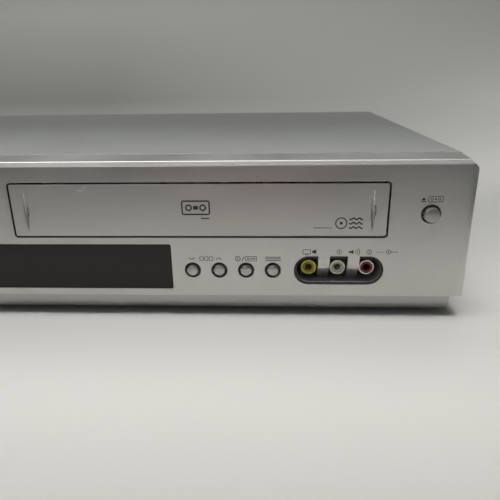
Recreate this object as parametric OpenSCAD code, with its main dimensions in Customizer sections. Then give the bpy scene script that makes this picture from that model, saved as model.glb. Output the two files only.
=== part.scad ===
// Disc and VHS tape combination player: a low silver deck with a disc drawer on
// the left, a cassette door on the right and phono jacks in the front.
// X runs to the right as seen from the front, Y to the rear and Z up, in millimetres.
// The modules work from the front face at y = 0 and the ground at z = 0, and
// seated() moves them so that the origin is the bottom centre of the whole box.

/* [Case] */
// Width of the front bezel at its widest
case_w = 430; // [428:1:440]
// Depth from the front face to the back edge of the cover
case_d = 300; // [296:1:320]
// Gap between the ground and the skirt
foot_h = 3.5; // [2.5:0.25:5]
// Height of the recessed skirt under the front face
skirt_h = 8.8; // [7:0.2:10]
// How far the skirt stands in from each side
skirt_in = 8; // [6:0.5:12]
// How far the skirt is set back from the front face
skirt_back = 1; // [0.6:0.1:2]
// Radius of the curve in which the skirt runs in below
skirt_r = 20; // [16:1:30]
// Height of the flat front face
face_h = 72.4; // [71:0.2:80]
// Height of the chamfer along the top edge of the face
edge_h = 2.2; // [1:0.1:4]
// Depth of that chamfer
edge_d = 2.5; // [1:0.1:4]
// Radius of the bezel's upright front corners
corner_r = 5.6; // [2.6:0.1:6]
// How far in the sloping facets at the ends of the top start at the seam
facet_seam = 2.3; // [1:0.1:3]
// How much further in they reach at the front
facet_in = 2.4; // [1:0.2:6]
// Depth of the bezel from its face to the seam with the cover
bezel_d = 25.25; // [25:0.25:34]
// Wall of the moulded bezel
bezel_wall = 2.5; // [2:0.1:2.8]
// How much narrower the bezel is at the seam, on each side
bezel_taper = 0.8; // [0.8:0.1:2]
// Gap at the seam between bezel and cover
seam_gap = 0.1; // [0.1:0.1:0.6]
// How far the cover stands above the bezel
cover_proud = 0.2; // [0.1:0.1:0.6]
// Thickness of the steel sheet
sheet = 1; // [0.8:0.1:1.2]
// Outer bend radius of the cover
bend_r = 2; // [1.5:0.1:3]
// Length of the ledge on the bezel that carries the cover
ledge_d = 7; // [4:0.5:9]
// Radius of a foot
foot_r = 14; // [10:0.5:16]
// Distance of the feet from the sides and from the ends
foot_in = 40; // [36:1:50]
// Radius of a foot's peg
foot_peg_r = 3; // [2:0.1:4]
// Radius of a cover screw's thread
screw_r = 1.5; // [1:0.1:1.8]

/* [Cassette door] */
// Width of the cassette door
door_w = 199; // [198:0.5:201]
// Height of both doors
door_h = 28.3; // [28:0.1:29]
// Thickness of the door plates
door_t = 2.2; // [1.8:0.1:2.4]
// Gap around the doors
door_gap = 1; // [0.6:0.1:1.2]
// Middle of the cassette door, to the right of the centre line
door_x = 70.2; // [69:0.2:71]
// Middle of both doors above the bottom of the face
door_up = 48.9; // [48.7:0.1:49.2]
// Radius of the doors' corners
door_r = 1; // [0.6:0.1:3]
// Radius of the door's hinge pins
pin_r = 1.3; // [1:0.1:1.5]
// Height of the hinge axis above the door's top edge
hinge_up = 3.2; // [3:0.1:3.6]
// Depth of the hinge axis behind the front face
hinge_back = 5; // [4.8:0.1:5.4]
// Height of the finger grooves in the door
groove_h = 23; // [16:0.5:25]
// Width of the finger grooves
groove_w = 2.4; // [1.2:0.1:3]
// Distance of the finger grooves from the door's ends
groove_in = 7.5; // [5:0.1:9]

/* [Disc drawer front] */
// Width of the drawer front
drawer_w = 134.4; // [133.8:0.2:138]
// Middle of the drawer, to the left of the centre line
drawer_x = 110; // [109.6:0.2:110.6]
// Thickness of the drawer front
drawer_t = 3.5; // [2.5:0.1:4]

/* [Window and buttons] */
// Width of the display window
window_w = 149.8; // [120:0.2:152]
// Height of the display window
window_h = 25.9; // [22:0.1:27]
// Right edge of the window from the centre line
window_end = 54.8; // [54:0.1:56]
// Middle of the window above the bottom of the face
window_up = 16.9; // [16:0.1:17.5]
// How far the window is set back from the face
window_back = 0.5; // [0.2:0.1:1]
// Radius of the small button caps
key_r = 3.05; // [2.5:0.05:3.4]
// Radius of the holes round the small caps
key_hole_r = 4.4; // [4:0.1:4.6]
// How far the small caps stand out
key_out = 1.4; // [0.6:0.1:2]
// Distance between the small buttons
key_pitch = 14.64; // [13:0.02:16]
// Height of the small buttons above the bottom of the face
key_up = 15.14; // [13:0.02:17]
// First small button on the right, from the centre line
key_x = 66.31; // [65:0.01:68]
// Distance from the window to the nearest small button on the left
left_key_gap = 11.3; // [9:0.1:15]
// Radius of the large button caps
big_r = 4; // [3.4:0.1:4.4]
// Radius of the holes round the large caps
big_hole_r = 5.05; // [4.8:0.05:5.4]
// How far the large caps stand out
big_out = 3; // [2:0.1:4]
// Height of the large buttons above the bottom of the face
big_up = 46.68; // [44:0.02:48]
// Distance of the large buttons from the sides
big_in = 23.16; // [21:0.02:25]
// Travel of every button
key_travel = 0.5; // [0.3:0.05:0.6]

/* [Jacks] */
// Width of the front jack pocket
pocket_w = 48; // [47:0.5:50]
// Height of the front jack pocket
pocket_h = 16.1; // [15:0.1:17]
// Depth of the front jack pocket
pocket_d = 19; // [15:0.1:19.5]
// Middle of the pocket from the centre line
pocket_x = 145.75; // [144:0.05:147]
// Middle of the pocket above the bottom of the face
pocket_up = 15.12; // [14.6:0.02:16]
// Distance between the front jacks
jack_pitch = 15.84; // [15:0.02:16.4]
// Depth of the front jacks' mouths behind the face
jack_back = 5; // [4:0.1:6]
// Outer radius of a phono jack's sleeve
sleeve_r = 4.15; // [4:0.01:4.2]
// Radius of a phono jack's contact hole
core_hole_r = 1.95; // [1.6:0.05:2.2]
// How far the rear jacks stand out of the rear panel
jack_out = 9; // [8:0.1:11]

/* [Disc loader] */
// Travel of the disc drawer
drawer_travel = 136; // [130:1:140]
// Radius of the recess for a 12 cm disc
disc_r = 61; // [60.5:0.1:61.5]
// Depth of that recess
disc_recess = 2; // [1.5:0.1:2.4]
// Distance of the disc's centre behind the face
disc_back = 76; // [75:0.5:78]
// Width of the drawer
tray_w = 129; // [127:0.5:130]
// Thickness of the drawer's floor slab
tray_t = 3.6; // [3.2:0.1:3.8]
// Height of the drawer's underside above the bottom of the face
tray_up = 48.8; // [48.4:0.1:49]
// Tooth module of the rack and gear
tooth = 1; // [0.8:0.1:1]
// Teeth of the drawer's gear
gear_teeth = 16; // [14:1:16]
// Travel of the optical pickup
pickup_travel = 34; // [30:1:35]

/* [Tape deck] */
// Width of a VHS cassette
vhs_w = 187.6; // [187:0.1:188]
// Depth of a VHS cassette
vhs_d = 102.4; // [102:0.1:103.4]
// Height of a VHS cassette
vhs_h = 25; // [24.8:0.1:25.2]
// Height of the deck plate above the case floor
deck_up = 21; // [20.5:0.1:22]
// Thickness of the deck plate
deck_t = 1.2; // [1:0.1:1.5]
// Travel of the cassette holder towards the rear
carriage_travel = 44; // [40:1:46]
// Radius of the head drum
drum_r = 31; // [30:0.1:31.4]
// Lean of the head drum, in degrees
drum_lean = 5.5; // [4:0.1:6]
// Distance of the drum's centre behind the face
drum_back = 222; // [221:0.5:226]
// Distance between the reels
reel_pitch = 92; // [90:0.5:94]
// Distance of the reels behind the face
reel_back = 130; // [128:0.5:132]
// Radius of the reel tables
reel_r = 18; // [15:0.5:20]
// Radius of the capstan
capstan_r = 2; // [1.5:0.1:2.4]
// Radius of the pinch roller
roller_r = 6; // [5:0.1:6]

/* [Rear and boards] */
// Height of the circuit boards above the case floor
board_up = 5; // [4:0.1:6]
// Thickness of the circuit boards
board_t = 1.6; // [1.2:0.1:2]
// Outer radius of the aerial output
aerial_r = 4.75; // [4.6:0.05:4.8]
// Width of a vent slot
vent_w = 3; // [2:0.1:4]
// Distance between vent slots
vent_pitch = 8; // [6:0.5:10]

/* [Hidden] */
$fn = 64;

// Clearances: running fits, fits of fixed pieces, and free air between two bodies
fit = 0.05;
loose = 0.1;
air = 0.3;

// Colours
SILVER = "#9a9a98";
LID = "#828684";
STEEL = "#a8aaac";
BLACK = "#26262a";
SMOKE = "#2a2626";
BOARD = "#2f5d3a";

// Case
face_z = foot_h + skirt_h;
bezel_top = face_z + face_h + edge_h;
case_h = bezel_top + cover_proud;
chassis_z = foot_h + 1;
floor_z = chassis_z + sheet;
back_w = case_w - 2 * bezel_taper;
cover_w = back_w - 0.8;
inner_w = cover_w - 2 * sheet;
face_y = (big_out - case_d - jack_out) / 2;
rear_y = case_d - 2 * sheet;
board_rear = rear_y - 6;
board_z = floor_z + board_up;
board_face = board_z + board_t;
chassis_y = 8.5;
skirt_w = case_w - 2 * skirt_in;
flange_h = 15;
side_screws_y = [60, case_d - 30];
side_screw_z = floor_z + 9;
rear_screws_x = [-180, 0, 180];
rear_screw_z = case_h - 6;
feet_x = case_w / 2 - foot_in;
feet_y = [foot_in + 5, case_d - foot_in];

// Doors, window, buttons and jacks
door_z = face_z + door_up;
door_top = door_z + door_h / 2;
hinge_z = door_top + hinge_up;
open_h = door_h + 2 * door_gap;
ear_x = door_w / 2 + door_gap + 0.3;
ear_t = 2.5;
window_x = window_w / 2 - window_end;
window_z = face_z + window_up;
big_x = case_w / 2 - big_in;
right_keys = [for (i = [0:3]) key_x + i * key_pitch];
left_keys = [for (i = [0:2]) window_end - window_w - left_key_gap - i * key_pitch];
key_z = face_z + key_up;
big_z = face_z + big_up;
pocket_z = face_z + pocket_up;
flange_y = bezel_wall + air;
flange_t = 1;
stem_r = 1.5;
switch_gap = key_travel + 0.1;
board_a_y = 12;
board_b_y = pocket_d + 7;
switch_t = 3.8;
board_bottom = face_z + 3.4;
board_top = door_z - open_h / 2 - 3;
tower_top = face_z + 55;
tower_in = drawer_x + drawer_w / 2 + 5.8;
core_r = sleeve_r - 0.8;
neck_r = sleeve_r + 0.35;
rear_jack_x = [-32, -16, 0];
rear_jack_z = floor_z + 33;
scart_x = [45, 108];
scart_z = floor_z + 27;
aerial_x = [inner_w / 2 - 27, inner_w / 2 - 11];
aerial_z = floor_z + 40;
inlet_x = 27 - inner_w / 2;
inlet_z = floor_z + 22;
inlet_w = 19;
inlet_h = 10.5;

// Disc loader, measured from the drawer's middle
dx = -drawer_x;
tray_z = face_z + tray_up;
tray_top = tray_z + tray_t;
gear_y = 30;
tray_back = gear_y + drawer_travel + 6;
loader_z = face_z + 31.4;
loader_top = loader_z + 30;
wall_in = tray_w / 2 + 1.7;
wall_t = 2.8;
gear_r = tooth * gear_teeth / 2;
rack_x = -53;
gear_x = rack_x + gear_r;
gear_z0 = tray_z - 8.8;
gear_z1 = tray_z - 3.4;
backlash = 0.12;
rack_end = drawer_t + 18;
pulley_r = 11;
pulley_z = loader_z + 4;
small_pulley_r = 3;
motor_x = -10;
motor_y = 27;
belt_t = 1;
hinge_y = tray_back - 6;
traverse_z = loader_z + 8;
slot_w = 48;
rod_x = 22;
rod_z = loader_z + 9;
rod_r = 1.5;
screw_x = -28;
sled_screw_z = loader_z + 12;
pickup_y = disc_back + 24;
sled_motor_y = pickup_y + pickup_travel + 7.5;
table_z = tray_top - 0.8;
bridge_z = loader_top;

// Tape deck, measured from the cassette's middle
deck_z = floor_z + deck_up;
deck_top = deck_z + deck_t;
cassette_z = door_z - door_h / 2 + 0.65;
rest_h = 4.8;
drop = cassette_z - deck_top - rest_h;
holder_y = hinge_back + hinge_up + door_h + 3.3;
holder_in = vhs_w / 2 + 0.8;
holder_t = 1;
holder_top = cassette_z + vhs_h + 1;
cheek_in = holder_in + holder_t + 1.4;
side_in = cheek_in + 2.2;
side_t = 1.2;
lift_y = holder_y + 40;
lift_pin_z = holder_top - 11;
lift_pin_r = 1.4;
slide_pin_z = holder_top + 5.2;
slide_pins_y = [lift_y - 8, lift_y + 8];
side_top = slide_pin_z + 3.4;
drum_x = -3;
drum_base = 6.8;
capstan_x = 47;
capstan_y = 176;
arm_x = 74;
arm_y = 206;
arm_rest = 198;
arm_l = 32.9;
roller_x = arm_x + arm_l * cos(arm_rest);
roller_y = arm_y + arm_l * sin(arm_rest);
guide_travel = 46;
supply_from = [-34, 180];
takeup_from = [28, 180];
supply_turn = 8.75;
takeup_turn = -8.75;
post_r = 3;
legs_x = 97;
legs_y = [50, drum_back + 24];
arm_t = 2.2;
spring_l = 6;
ledge_t = 1.5;
front_reach = pocket_d + 1.2 - jack_back;
rear_reach = jack_out + 2 * sheet;
ear_mid = 36;
scart_w = 47;
scart_h = 15;

// Moves the working frame to the part's own frame
module seated() {
  translate([0, face_y, 0]) children();
}

// Box between two opposite corners
module box(a, b) {
  translate(a) cube(b - a);
}

// Pegs along each axis: centre, radius, from and to
module peg_x(y, z, r, x0, x1) {
  translate([x0, y, z]) rotate([0, 90, 0]) cylinder(r = r, h = x1 - x0);
}

module peg_y(x, z, r, y0, y1) {
  translate([x, y1, z]) rotate([90, 0, 0]) cylinder(r = r, h = y1 - y0);
}

module peg_z(x, y, r, z0, z1) {
  translate([x, y, z0]) cylinder(r = r, h = z1 - z0);
}

// Upright plate: its outline is drawn in X and Z
module upright(y0, y1) {
  translate([0, y1, 0]) rotate([90, 0, 0]) linear_extrude(y1 - y0) children();
}

// Bar along X: its outline is drawn in Y and Z
module lengthwise(x0, x1) {
  translate([x0, 0, 0]) rotate([90, 0, 90]) linear_extrude(x1 - x0) children();
}

// Rectangle with round corners, about its centre
module rounded(w, h, r) {
  square([w - 2 * r, h], center = true);
  square([w, h - 2 * r], center = true);
  for (sx = [-1, 1], sy = [-1, 1])
    translate([sx * (w / 2 - r), sy * (h / 2 - r)]) circle(r);
}

// Long hole with round ends
module obround(w, h) {
  square([w - h, h], center = true);
  for (s = [-1, 1]) translate([s * (w - h) / 2, 0]) circle(h / 2);
}

// Upright lens shape where two large circles cross
module lens(w, h) {
  r = (w * w + h * h) / (4 * w);
  intersection() {
    translate([r - w / 2, 0]) circle(r, $fn = 180);
    translate([w / 2 - r, 0]) circle(r, $fn = 180);
  }
}

// Lens turned about its long axis
module spindle(w, h) {
  rotate_extrude() intersection() {
    lens(w, h);
    translate([0, -h]) square([w, 2 * h]);
  }
}

// ---- Case ----

// Plan of the bezel, drawn smaller by an inset at the front and sides
module bezel_plan(inset) {
  w = case_w / 2 - inset;
  b = back_w / 2 - inset;
  r = max(corner_r - inset, 0.5);
  polygon([[-w + r, inset], [w - r, inset], [w, inset + r], [b, bezel_d],
           [-b, bezel_d], [-w, inset + r]]);
  for (s = [-1, 1]) translate([s * (w - r), inset + r]) circle(r);
}

// Side view of the skirt: set back, and running in below along a large arc
module skirt_side() {
  difference() {
    translate([skirt_back, foot_h]) square([bezel_d - skirt_back, skirt_h + 0.5]);
    difference() {
      translate([skirt_back - 1, foot_h - 1]) square([skirt_r / 2, skirt_h + 2]);
      translate([skirt_back + skirt_r, face_z + 2]) circle(skirt_r);
    }
  }
}

module front_holes() {
  translate([door_x, door_z]) rounded(door_w + 2 * door_gap, open_h, door_r + door_gap);
  translate([-drawer_x, door_z]) rounded(drawer_w + 2 * door_gap, open_h, door_r + door_gap);
  translate([-window_x, window_z]) rounded(window_w + 2 * loose, window_h + 2 * loose, 1);
  for (x = concat(right_keys, left_keys)) translate([x, key_z]) circle(key_hole_r);
  for (x = [-big_x, big_x]) translate([x, big_z]) circle(big_hole_r);
  translate([-big_x, key_z]) circle(big_hole_r);
  translate([pocket_x, pocket_z]) obround(pocket_w + 2 * loose, pocket_h + 2 * loose);
}

// Cut under the facets: they start at the seam and slope at 45 degrees, moved in by an inset
module facets(inset) {
  reach = 20;
  for (s = [-1, 1]) translate([s * (back_w / 2 - facet_seam - inset * sqrt(2)), bezel_d, bezel_top])
    rotate([0, 0, -s * atan(facet_in / bezel_d)]) upright(-2 * bezel_d, bezel_wall)
      polygon([[-s * reach, reach], [s * reach, -reach], [s * reach, reach]]);
}

module front_panel() {
  skirt_in_w = skirt_w / 2 - bezel_wall;
  color(SILVER) seated() {
    difference() {
      union() {
        translate([0, 0, face_z]) linear_extrude(face_h + edge_h) bezel_plan(0);
        lengthwise(-skirt_w / 2, skirt_w / 2) skirt_side();
      }
      // Hollow of the bezel, open to the rear
      difference() {
        translate([0, 0, face_z + 2]) linear_extrude(face_h + edge_h - bezel_wall - 2) bezel_plan(bezel_wall);
        facets(bezel_wall);
      }
      box([-back_w / 2 + bezel_wall, bezel_d - 1, face_z + 2],
          [back_w / 2 - bezel_wall, bezel_d + 1, bezel_top - bezel_wall]);
      // Hollow of the skirt, open below behind the chassis edge
      box([-skirt_in_w, skirt_back + 2 * bezel_wall, foot_h + 2], [skirt_in_w, bezel_d + 1, face_z + 3]);
      box([-skirt_in_w, chassis_y - air, 0], [skirt_in_w, bezel_d + 1, foot_h + 3]);
      // Chamfer along the top edge
      lengthwise(-case_w, case_w)
        polygon([[-edge_d, bezel_top - 2 * edge_h], [2 * edge_d, bezel_top + edge_h],
                 [-edge_d, bezel_top + edge_h]]);
      facets(0);
      upright(-1, bezel_wall + 1) front_holes();
    }
    // Ledges that carry the cover
    box([-inner_w / 2 + 4, bezel_d - bezel_wall, bezel_top - bezel_wall + 0.1],
        [inner_w / 2 - 4, bezel_d + ledge_d, case_h - sheet - loose]);
    for (s = [-1, 1]) translate([s * (inner_w / 2 - loose - ledge_t / 2), 0, 0])
      box([-ledge_t / 2, bezel_d - bezel_wall, floor_z + flange_h + 6],
          [ledge_t / 2, bezel_d + ledge_d, bezel_top - bezel_wall - 1]);
    // Hinge ears of the cassette door
    for (s = [-1, 1]) translate([door_x + s * (ear_x + ear_t / 2), 0, 0]) difference() {
      box([-ear_t / 2, bezel_wall - 0.5, door_top + door_gap + 0.2],
          [ear_t / 2, hinge_back + 3.4, hinge_z + 3.4]);
      peg_x(hinge_back, hinge_z, pin_r + fit, -ear_t, ear_t);
    }
  }
}

// Closed outline of the cover's cross-section, open towards the ground when subtracted
module u_outline(w, top, r, bottom) {
  translate([-w, bottom]) square([2 * w, top - r - bottom]);
  translate([-w + r, top - r - 1]) square([2 * w - 2 * r, r + 1]);
  for (s = [-1, 1]) translate([s * (w - r), top - r]) circle(r);
}

module side_vents() {
  for (i = [0:11]) translate([0, case_d - 35 - i * vent_pitch, (floor_z + case_h) / 2])
    cube([case_w + 2, vent_w, 26], center = true);
}

module top_cover() {
  y0 = bezel_d + seam_gap;
  w = cover_w / 2;
  color(LID) seated() difference() {
    union() {
      upright(y0, case_d) difference() {
        u_outline(w, case_h, bend_r, chassis_z);
        u_outline(w - sheet, case_h - sheet, bend_r - sheet, chassis_z - 1);
      }
      box([-w + bend_r, case_d - sheet, case_h - 12], [w - bend_r, case_d, case_h - sheet / 2]);
    }
    side_vents();
    for (y = side_screws_y) peg_x(y, side_screw_z, screw_r + loose, -case_w, case_w);
    for (x = rear_screws_x) peg_y(x, rear_screw_z, screw_r + loose, case_d - 5, case_d + 1);
  }
}

// Corners of the boards, and standoffs that carry them
main_from = [-18, 60];
main_to = [158, board_rear];
disc_from = [-174, 50];
disc_to = [-48, 166];
power_from = [6 - inner_w / 2, tray_back + 22];
power_to = [-50, board_rear];
standoff_in = 8;
standoffs = [for (b = [[main_from, main_to], [disc_from, disc_to], [power_from, power_to]])
  for (x = [b[0][0] + standoff_in, b[1][0] - standoff_in], y = [b[0][1] + standoff_in, b[1][1] - standoff_in]) [x, y]];

module bottom_chassis() {
  w = inner_w / 2 - 0.5;
  front_w = skirt_w / 2 - bezel_wall - loose;
  color(STEEL) seated() difference() {
    union() {
      box([-front_w, chassis_y, chassis_z], [front_w, bezel_d + 2, floor_z]);
      box([-w, bezel_d + ledge_d + 1, chassis_z], [w, rear_y, floor_z]);
      box([-front_w, bezel_d, chassis_z], [front_w, bezel_d + ledge_d + 2, floor_z]);
      box([-front_w, chassis_y, chassis_z], [front_w, chassis_y + sheet, floor_z + 6]);
      for (s = [-1, 1]) translate([s * (w - sheet / 2), 0, 0])
        box([-sheet / 2, bezel_d + ledge_d + 1, chassis_z], [sheet / 2, rear_y, floor_z + flange_h]);
      box([-w, rear_y - sheet, chassis_z], [w, rear_y, floor_z + 8]);
      for (p = standoffs) peg_z(p[0], p[1], 3, floor_z - 0.2, floor_z + board_up);
    }
    for (s = [-1, 1], y = feet_y) peg_z(s * feet_x, y, foot_peg_r + fit, 0, floor_z + 1);
    for (y = side_screws_y) peg_x(y, side_screw_z, screw_r + loose, -case_w, case_w);
    for (i = [0:9]) translate([-170 + i * vent_pitch, 100, 0]) cube([vent_w, 40, case_h]);
    for (i = [0:9]) translate([-150 + i * vent_pitch, 215, 0]) cube([vent_w, 40, floor_z + 2]);
  }
}

module rear_panel() {
  color(STEEL) seated() difference() {
    upright(rear_y, rear_y + sheet)
      u_outline(inner_w / 2 - loose, case_h - sheet - loose, bend_r - sheet, chassis_z);
    for (x = rear_jack_x) peg_y(x, rear_jack_z, neck_r + fit, rear_y - 1, case_d);
    for (x = scart_x) upright(rear_y - 1, case_d) translate([x, scart_z])
      square([scart_w + 2 * loose, scart_h + 2 * loose], center = true);
    for (x = aerial_x) peg_y(x, aerial_z, 6 + loose, rear_y - 1, case_d);
    upright(rear_y - 1, case_d) translate([inlet_x, inlet_z])
      rounded(inlet_w + 2 * loose, inlet_h + 2 * loose, 1.5);
    for (x = rear_screws_x) peg_y(x, rear_screw_z, screw_r + loose, rear_y - 1, case_d);
    for (i = [0:9]) translate([-150 + i * vent_pitch, rear_y - 1, floor_z + 18]) cube([vent_w, 4, 40]);
  }
}

module feet() {
  color(BLACK) seated() for (s = [-1, 1], y = feet_y) translate([s * feet_x, y, 0]) {
    cylinder(r1 = foot_r - 2, r2 = foot_r, h = chassis_z);
    cylinder(r = foot_peg_r, h = floor_z + 2);
  }
}

// Dome-headed screw with a cross recess, pointing along -Z from its seat at z = 0
module screw(length) {
  difference() {
    union() {
      translate([0, 0, -length]) cylinder(r = screw_r, h = length + 0.5);
      cylinder(r1 = 3, r2 = 2.2, h = 1.4);
    }
    for (a = [0, 90]) rotate(a) translate([-1.6, -0.3, 0.8]) cube([3.2, 0.6, 1]);
  }
}

module cover_screws() {
  color(STEEL) seated() {
    for (s = [-1, 1], y = side_screws_y) translate([s * cover_w / 2, y, side_screw_z])
      rotate([0, s * 90, 0]) screw(6);
    for (x = rear_screws_x) translate([x, case_d, rear_screw_z]) rotate([-90, 0, 0]) screw(6);
  }
}

// ---- Front ----

module cassette_door() {
  pin_end = ear_x + ear_t - air;
  arm_front = hinge_back - pin_r - 0.8;
  color(SILVER) seated() translate([door_x, 0, 0]) {
    difference() {
      upright(0, door_t) translate([0, door_z]) rounded(door_w, door_h, door_r);
      for (s = [-1, 1]) translate([s * (door_w / 2 - groove_in), 0, door_z]) spindle(groove_w, groove_h);
    }
    for (s = [-1, 1]) {
      translate([s * (door_w / 2 - arm_t / 2), 0, 0]) lengthwise(-arm_t / 2, arm_t / 2) {
        translate([hinge_back, hinge_z]) circle(pin_r + 0.8);
        polygon([[door_t - 0.4, door_top - 9], [door_t - 0.4, door_top - 3], [arm_front, door_top - 1.5],
                 [arm_front, hinge_z], [hinge_back + pin_r + 0.8, hinge_z],
                 [hinge_back + pin_r + 0.8, door_top - 2], [door_t + 1.5, door_top - 9]]);
      }
      translate([s * (door_w / 2 + pin_end) / 2, 0, 0])
        peg_x(hinge_back, hinge_z, pin_r, -(pin_end - door_w / 2 + 1) / 2, (pin_end - door_w / 2) / 2);
    }
    peg_x(hinge_back, hinge_z, pin_r, door_w / 2 - arm_t - spring_l, door_w / 2 - 1);
  }
}

module door_spring() {
  wire = 0.3;
  mean = pin_r + 0.15 + wire;
  x0 = door_x + door_w / 2 - arm_t - spring_l + 0.8;
  turns = 8;
  color(STEEL) seated() translate([x0, hinge_back, hinge_z]) {
    rotate([0, 90, 0]) rotate_extrude()
      for (i = [0:turns]) translate([mean, i * 1.6 * wire]) circle(wire, $fn = 24);
    // Leg along the back of the door, and a short leg to the rear
    lean = atan((mean + door_t + wire + 0.05 - hinge_back) / -10);
    translate([0, -mean, 0]) rotate([180 - lean, 0, 0]) cylinder(r = wire, h = 10, $fn = 24);
    translate([turns * 1.6 * wire, 0, mean]) rotate([-90, 0, 0]) cylinder(r = wire, h = 4, $fn = 24);
  }
}

module display_window() {
  rim = 1.8;
  color(SMOKE) seated() translate([-window_x, 0, window_z]) {
    upright(window_back, bezel_wall + 1) rounded(window_w, window_h, 0.9);
    upright(bezel_wall, bezel_wall + 1.2) rounded(window_w + 2 * rim, window_h + 2 * rim, 2);
  }
}

module aux_pocket() {
  color(BLACK) seated() translate([pocket_x, 0, pocket_z]) {
    difference() {
      union() {
        upright(0.1, pocket_d + 1.2) obround(pocket_w, pocket_h);
        upright(bezel_wall, bezel_wall + 1.2) obround(pocket_w + 4, pocket_h + 4);
      }
      upright(-1, pocket_d) obround(pocket_w - 2.4, pocket_h - 2.4);
      for (k = [-1:1]) peg_y(k * jack_pitch, 0, neck_r + fit, pocket_d - 1, pocket_d + 2);
    }
  }
}

// Phono jack along +Y with its mouth at y = 0: a free sleeve, then a thicker neck
// through the wall, and its seat behind the wall at y = reach
module jack_sleeve(free, reach) {
  difference() {
    union() {
      peg_y(0, 0, sleeve_r, 0, free + 0.1);
      peg_y(0, 0, neck_r, free, reach + 0.8);
      peg_y(0, 0, neck_r + 1, reach, reach + 0.8);
    }
    peg_y(0, 0, core_r + fit, -1, reach + 2);
  }
}

module jack_core(reach) {
  difference() {
    peg_y(0, 0, core_r, 0.3, reach + 1.8);
    peg_y(0, 0, core_hole_r, -1, 8.5);
  }
}

module front_jack(k) {
  translate([pocket_x + k * jack_pitch, jack_back, pocket_z]) children();
}

module rear_jack(k) {
  translate([rear_jack_x[k + 1], case_d + jack_out, rear_jack_z]) mirror([0, 1, 0]) children();
}

module jack_sleeves() {
  color("#b8b4a4") seated() for (k = [-1:1]) {
    front_jack(k) jack_sleeve(pocket_d - jack_back, front_reach);
    rear_jack(k) jack_sleeve(jack_out + sheet, rear_reach);
  }
}

module cores(k) {
  front_jack(k) jack_core(front_reach);
  rear_jack(k) jack_core(rear_reach);
}

module yellow_cores() {
  color("#c9a022") seated() cores(-1);
}

module white_cores() {
  color("#d6d3c8") seated() cores(0);
}

module red_cores() {
  color("#8e2424") seated() cores(1);
}

// Push switch: body on the board's front face at y = 0, plunger towards the button
module push_switch(x, z) {
  box([x - 3, 0.8 - switch_t, z - 3], [x + 3, 0.1, z + 3]);
  peg_y(x, z, 1.6, -switch_t, 0);
}

module front_boards() {
  a_end = right_keys[3] + 8;
  b_start = pocket_x - pocket_w / 2 - 2;
  side = case_w / 2 - 10;
  vfd_w = window_w / 2 - 6;
  color(BOARD) seated() {
    translate([0, board_a_y, 0]) {
      box([-side, 0, board_bottom], [a_end, board_t, board_top]);
      box([-side, 0, board_bottom], [-tower_in, board_t, tower_top]);
      for (x = concat(right_keys, left_keys)) push_switch(x, key_z);
      push_switch(-big_x, key_z);
      push_switch(-big_x, big_z);
      box([-window_x - vfd_w, bezel_wall + 1.6 - board_a_y, window_z - 11],
          [-window_x + vfd_w, 0.1, window_z + 11]);
    }
    translate([0, board_b_y, 0]) {
      box([b_start, 0, board_bottom], [side, board_t, board_top]);
      box([big_x - 12, 0, board_bottom], [side, board_t, tower_top]);
      push_switch(big_x, big_z);
      box([pocket_x - 23, jack_back + front_reach + 1.8 - board_b_y, pocket_z - 6],
          [pocket_x + 23, 0.1, pocket_z + 6]);
    }
  }
}

// Push button: cap, flange behind the bezel and stem towards its switch
module button(x, z, r, hole_r, out, board_y) {
  bevel = 0.4;
  seated() translate([x, 0, z]) {
    translate([0, bevel - out, 0]) rotate([90, 0, 0]) cylinder(r1 = r, r2 = r - bevel, h = bevel);
    peg_y(0, 0, r, bevel - out, flange_y + 0.5);
    peg_y(0, 0, hole_r + 0.9, flange_y, flange_y + flange_t);
    peg_y(0, 0, stem_r, flange_y, board_y - switch_t - switch_gap);
  }
}

module small_button(x) {
  color(SILVER) button(x, key_z, key_r, key_hole_r, key_out, board_a_y);
}

module eject_button() {
  color(SILVER) button(big_x, big_z, big_r, big_hole_r, big_out, board_b_y);
}

module open_close_button() {
  color(SILVER) button(-big_x, big_z, big_r, big_hole_r, big_out, board_a_y);
}

module standby_button() {
  color(SILVER) button(-big_x, key_z, big_r, big_hole_r, big_out, board_a_y);
}

module prog_down_button() {
  small_button(right_keys[0]);
}

module prog_up_button() {
  small_button(right_keys[1]);
}

module source_button() {
  small_button(right_keys[2]);
}

module scan_button() {
  small_button(right_keys[3]);
}

module play_button() {
  small_button(left_keys[0]);
}

module stop_button() {
  small_button(left_keys[1]);
}

module record_button() {
  small_button(left_keys[2]);
}

// ---- Disc loader ----

module at_loader() {
  seated() translate([dx, 0, 0]) children();
}

// Angle between an involute's start and a point on it at radius r, in degrees
function involute(base, r) = let (a = acos(base / r)) tan(a) * 180 / PI - a;

// Spur gear outline with involute flanks; its first tooth points along -X
module gear_outline(teeth, m, play) {
  pitch = teeth * m / 2;
  base = pitch * cos(20);
  root = pitch - 1.25 * m;
  tip = pitch + m;
  half = (PI * m / 2 - play) / 2 / pitch * 180 / PI;
  radii = [for (i = [0:5]) base + (tip - base) * i / 5];
  angles = [for (r = radii) half + involute(base, pitch) - involute(base, max(r, base + 0.0001))];
  points = [for (t = [0:teeth - 1]) let (a = 180 + t * 360 / teeth) each concat(
    [[root, a - angles[0]]],
    [for (i = [0:5]) [radii[i], a - angles[i]]],
    [for (i = [5:-1:0]) [radii[i], a + angles[i]]],
    [[root, a + angles[0]]])];
  polygon([for (p = points) p[0] * [cos(p[1]), sin(p[1])]]);
}

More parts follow.
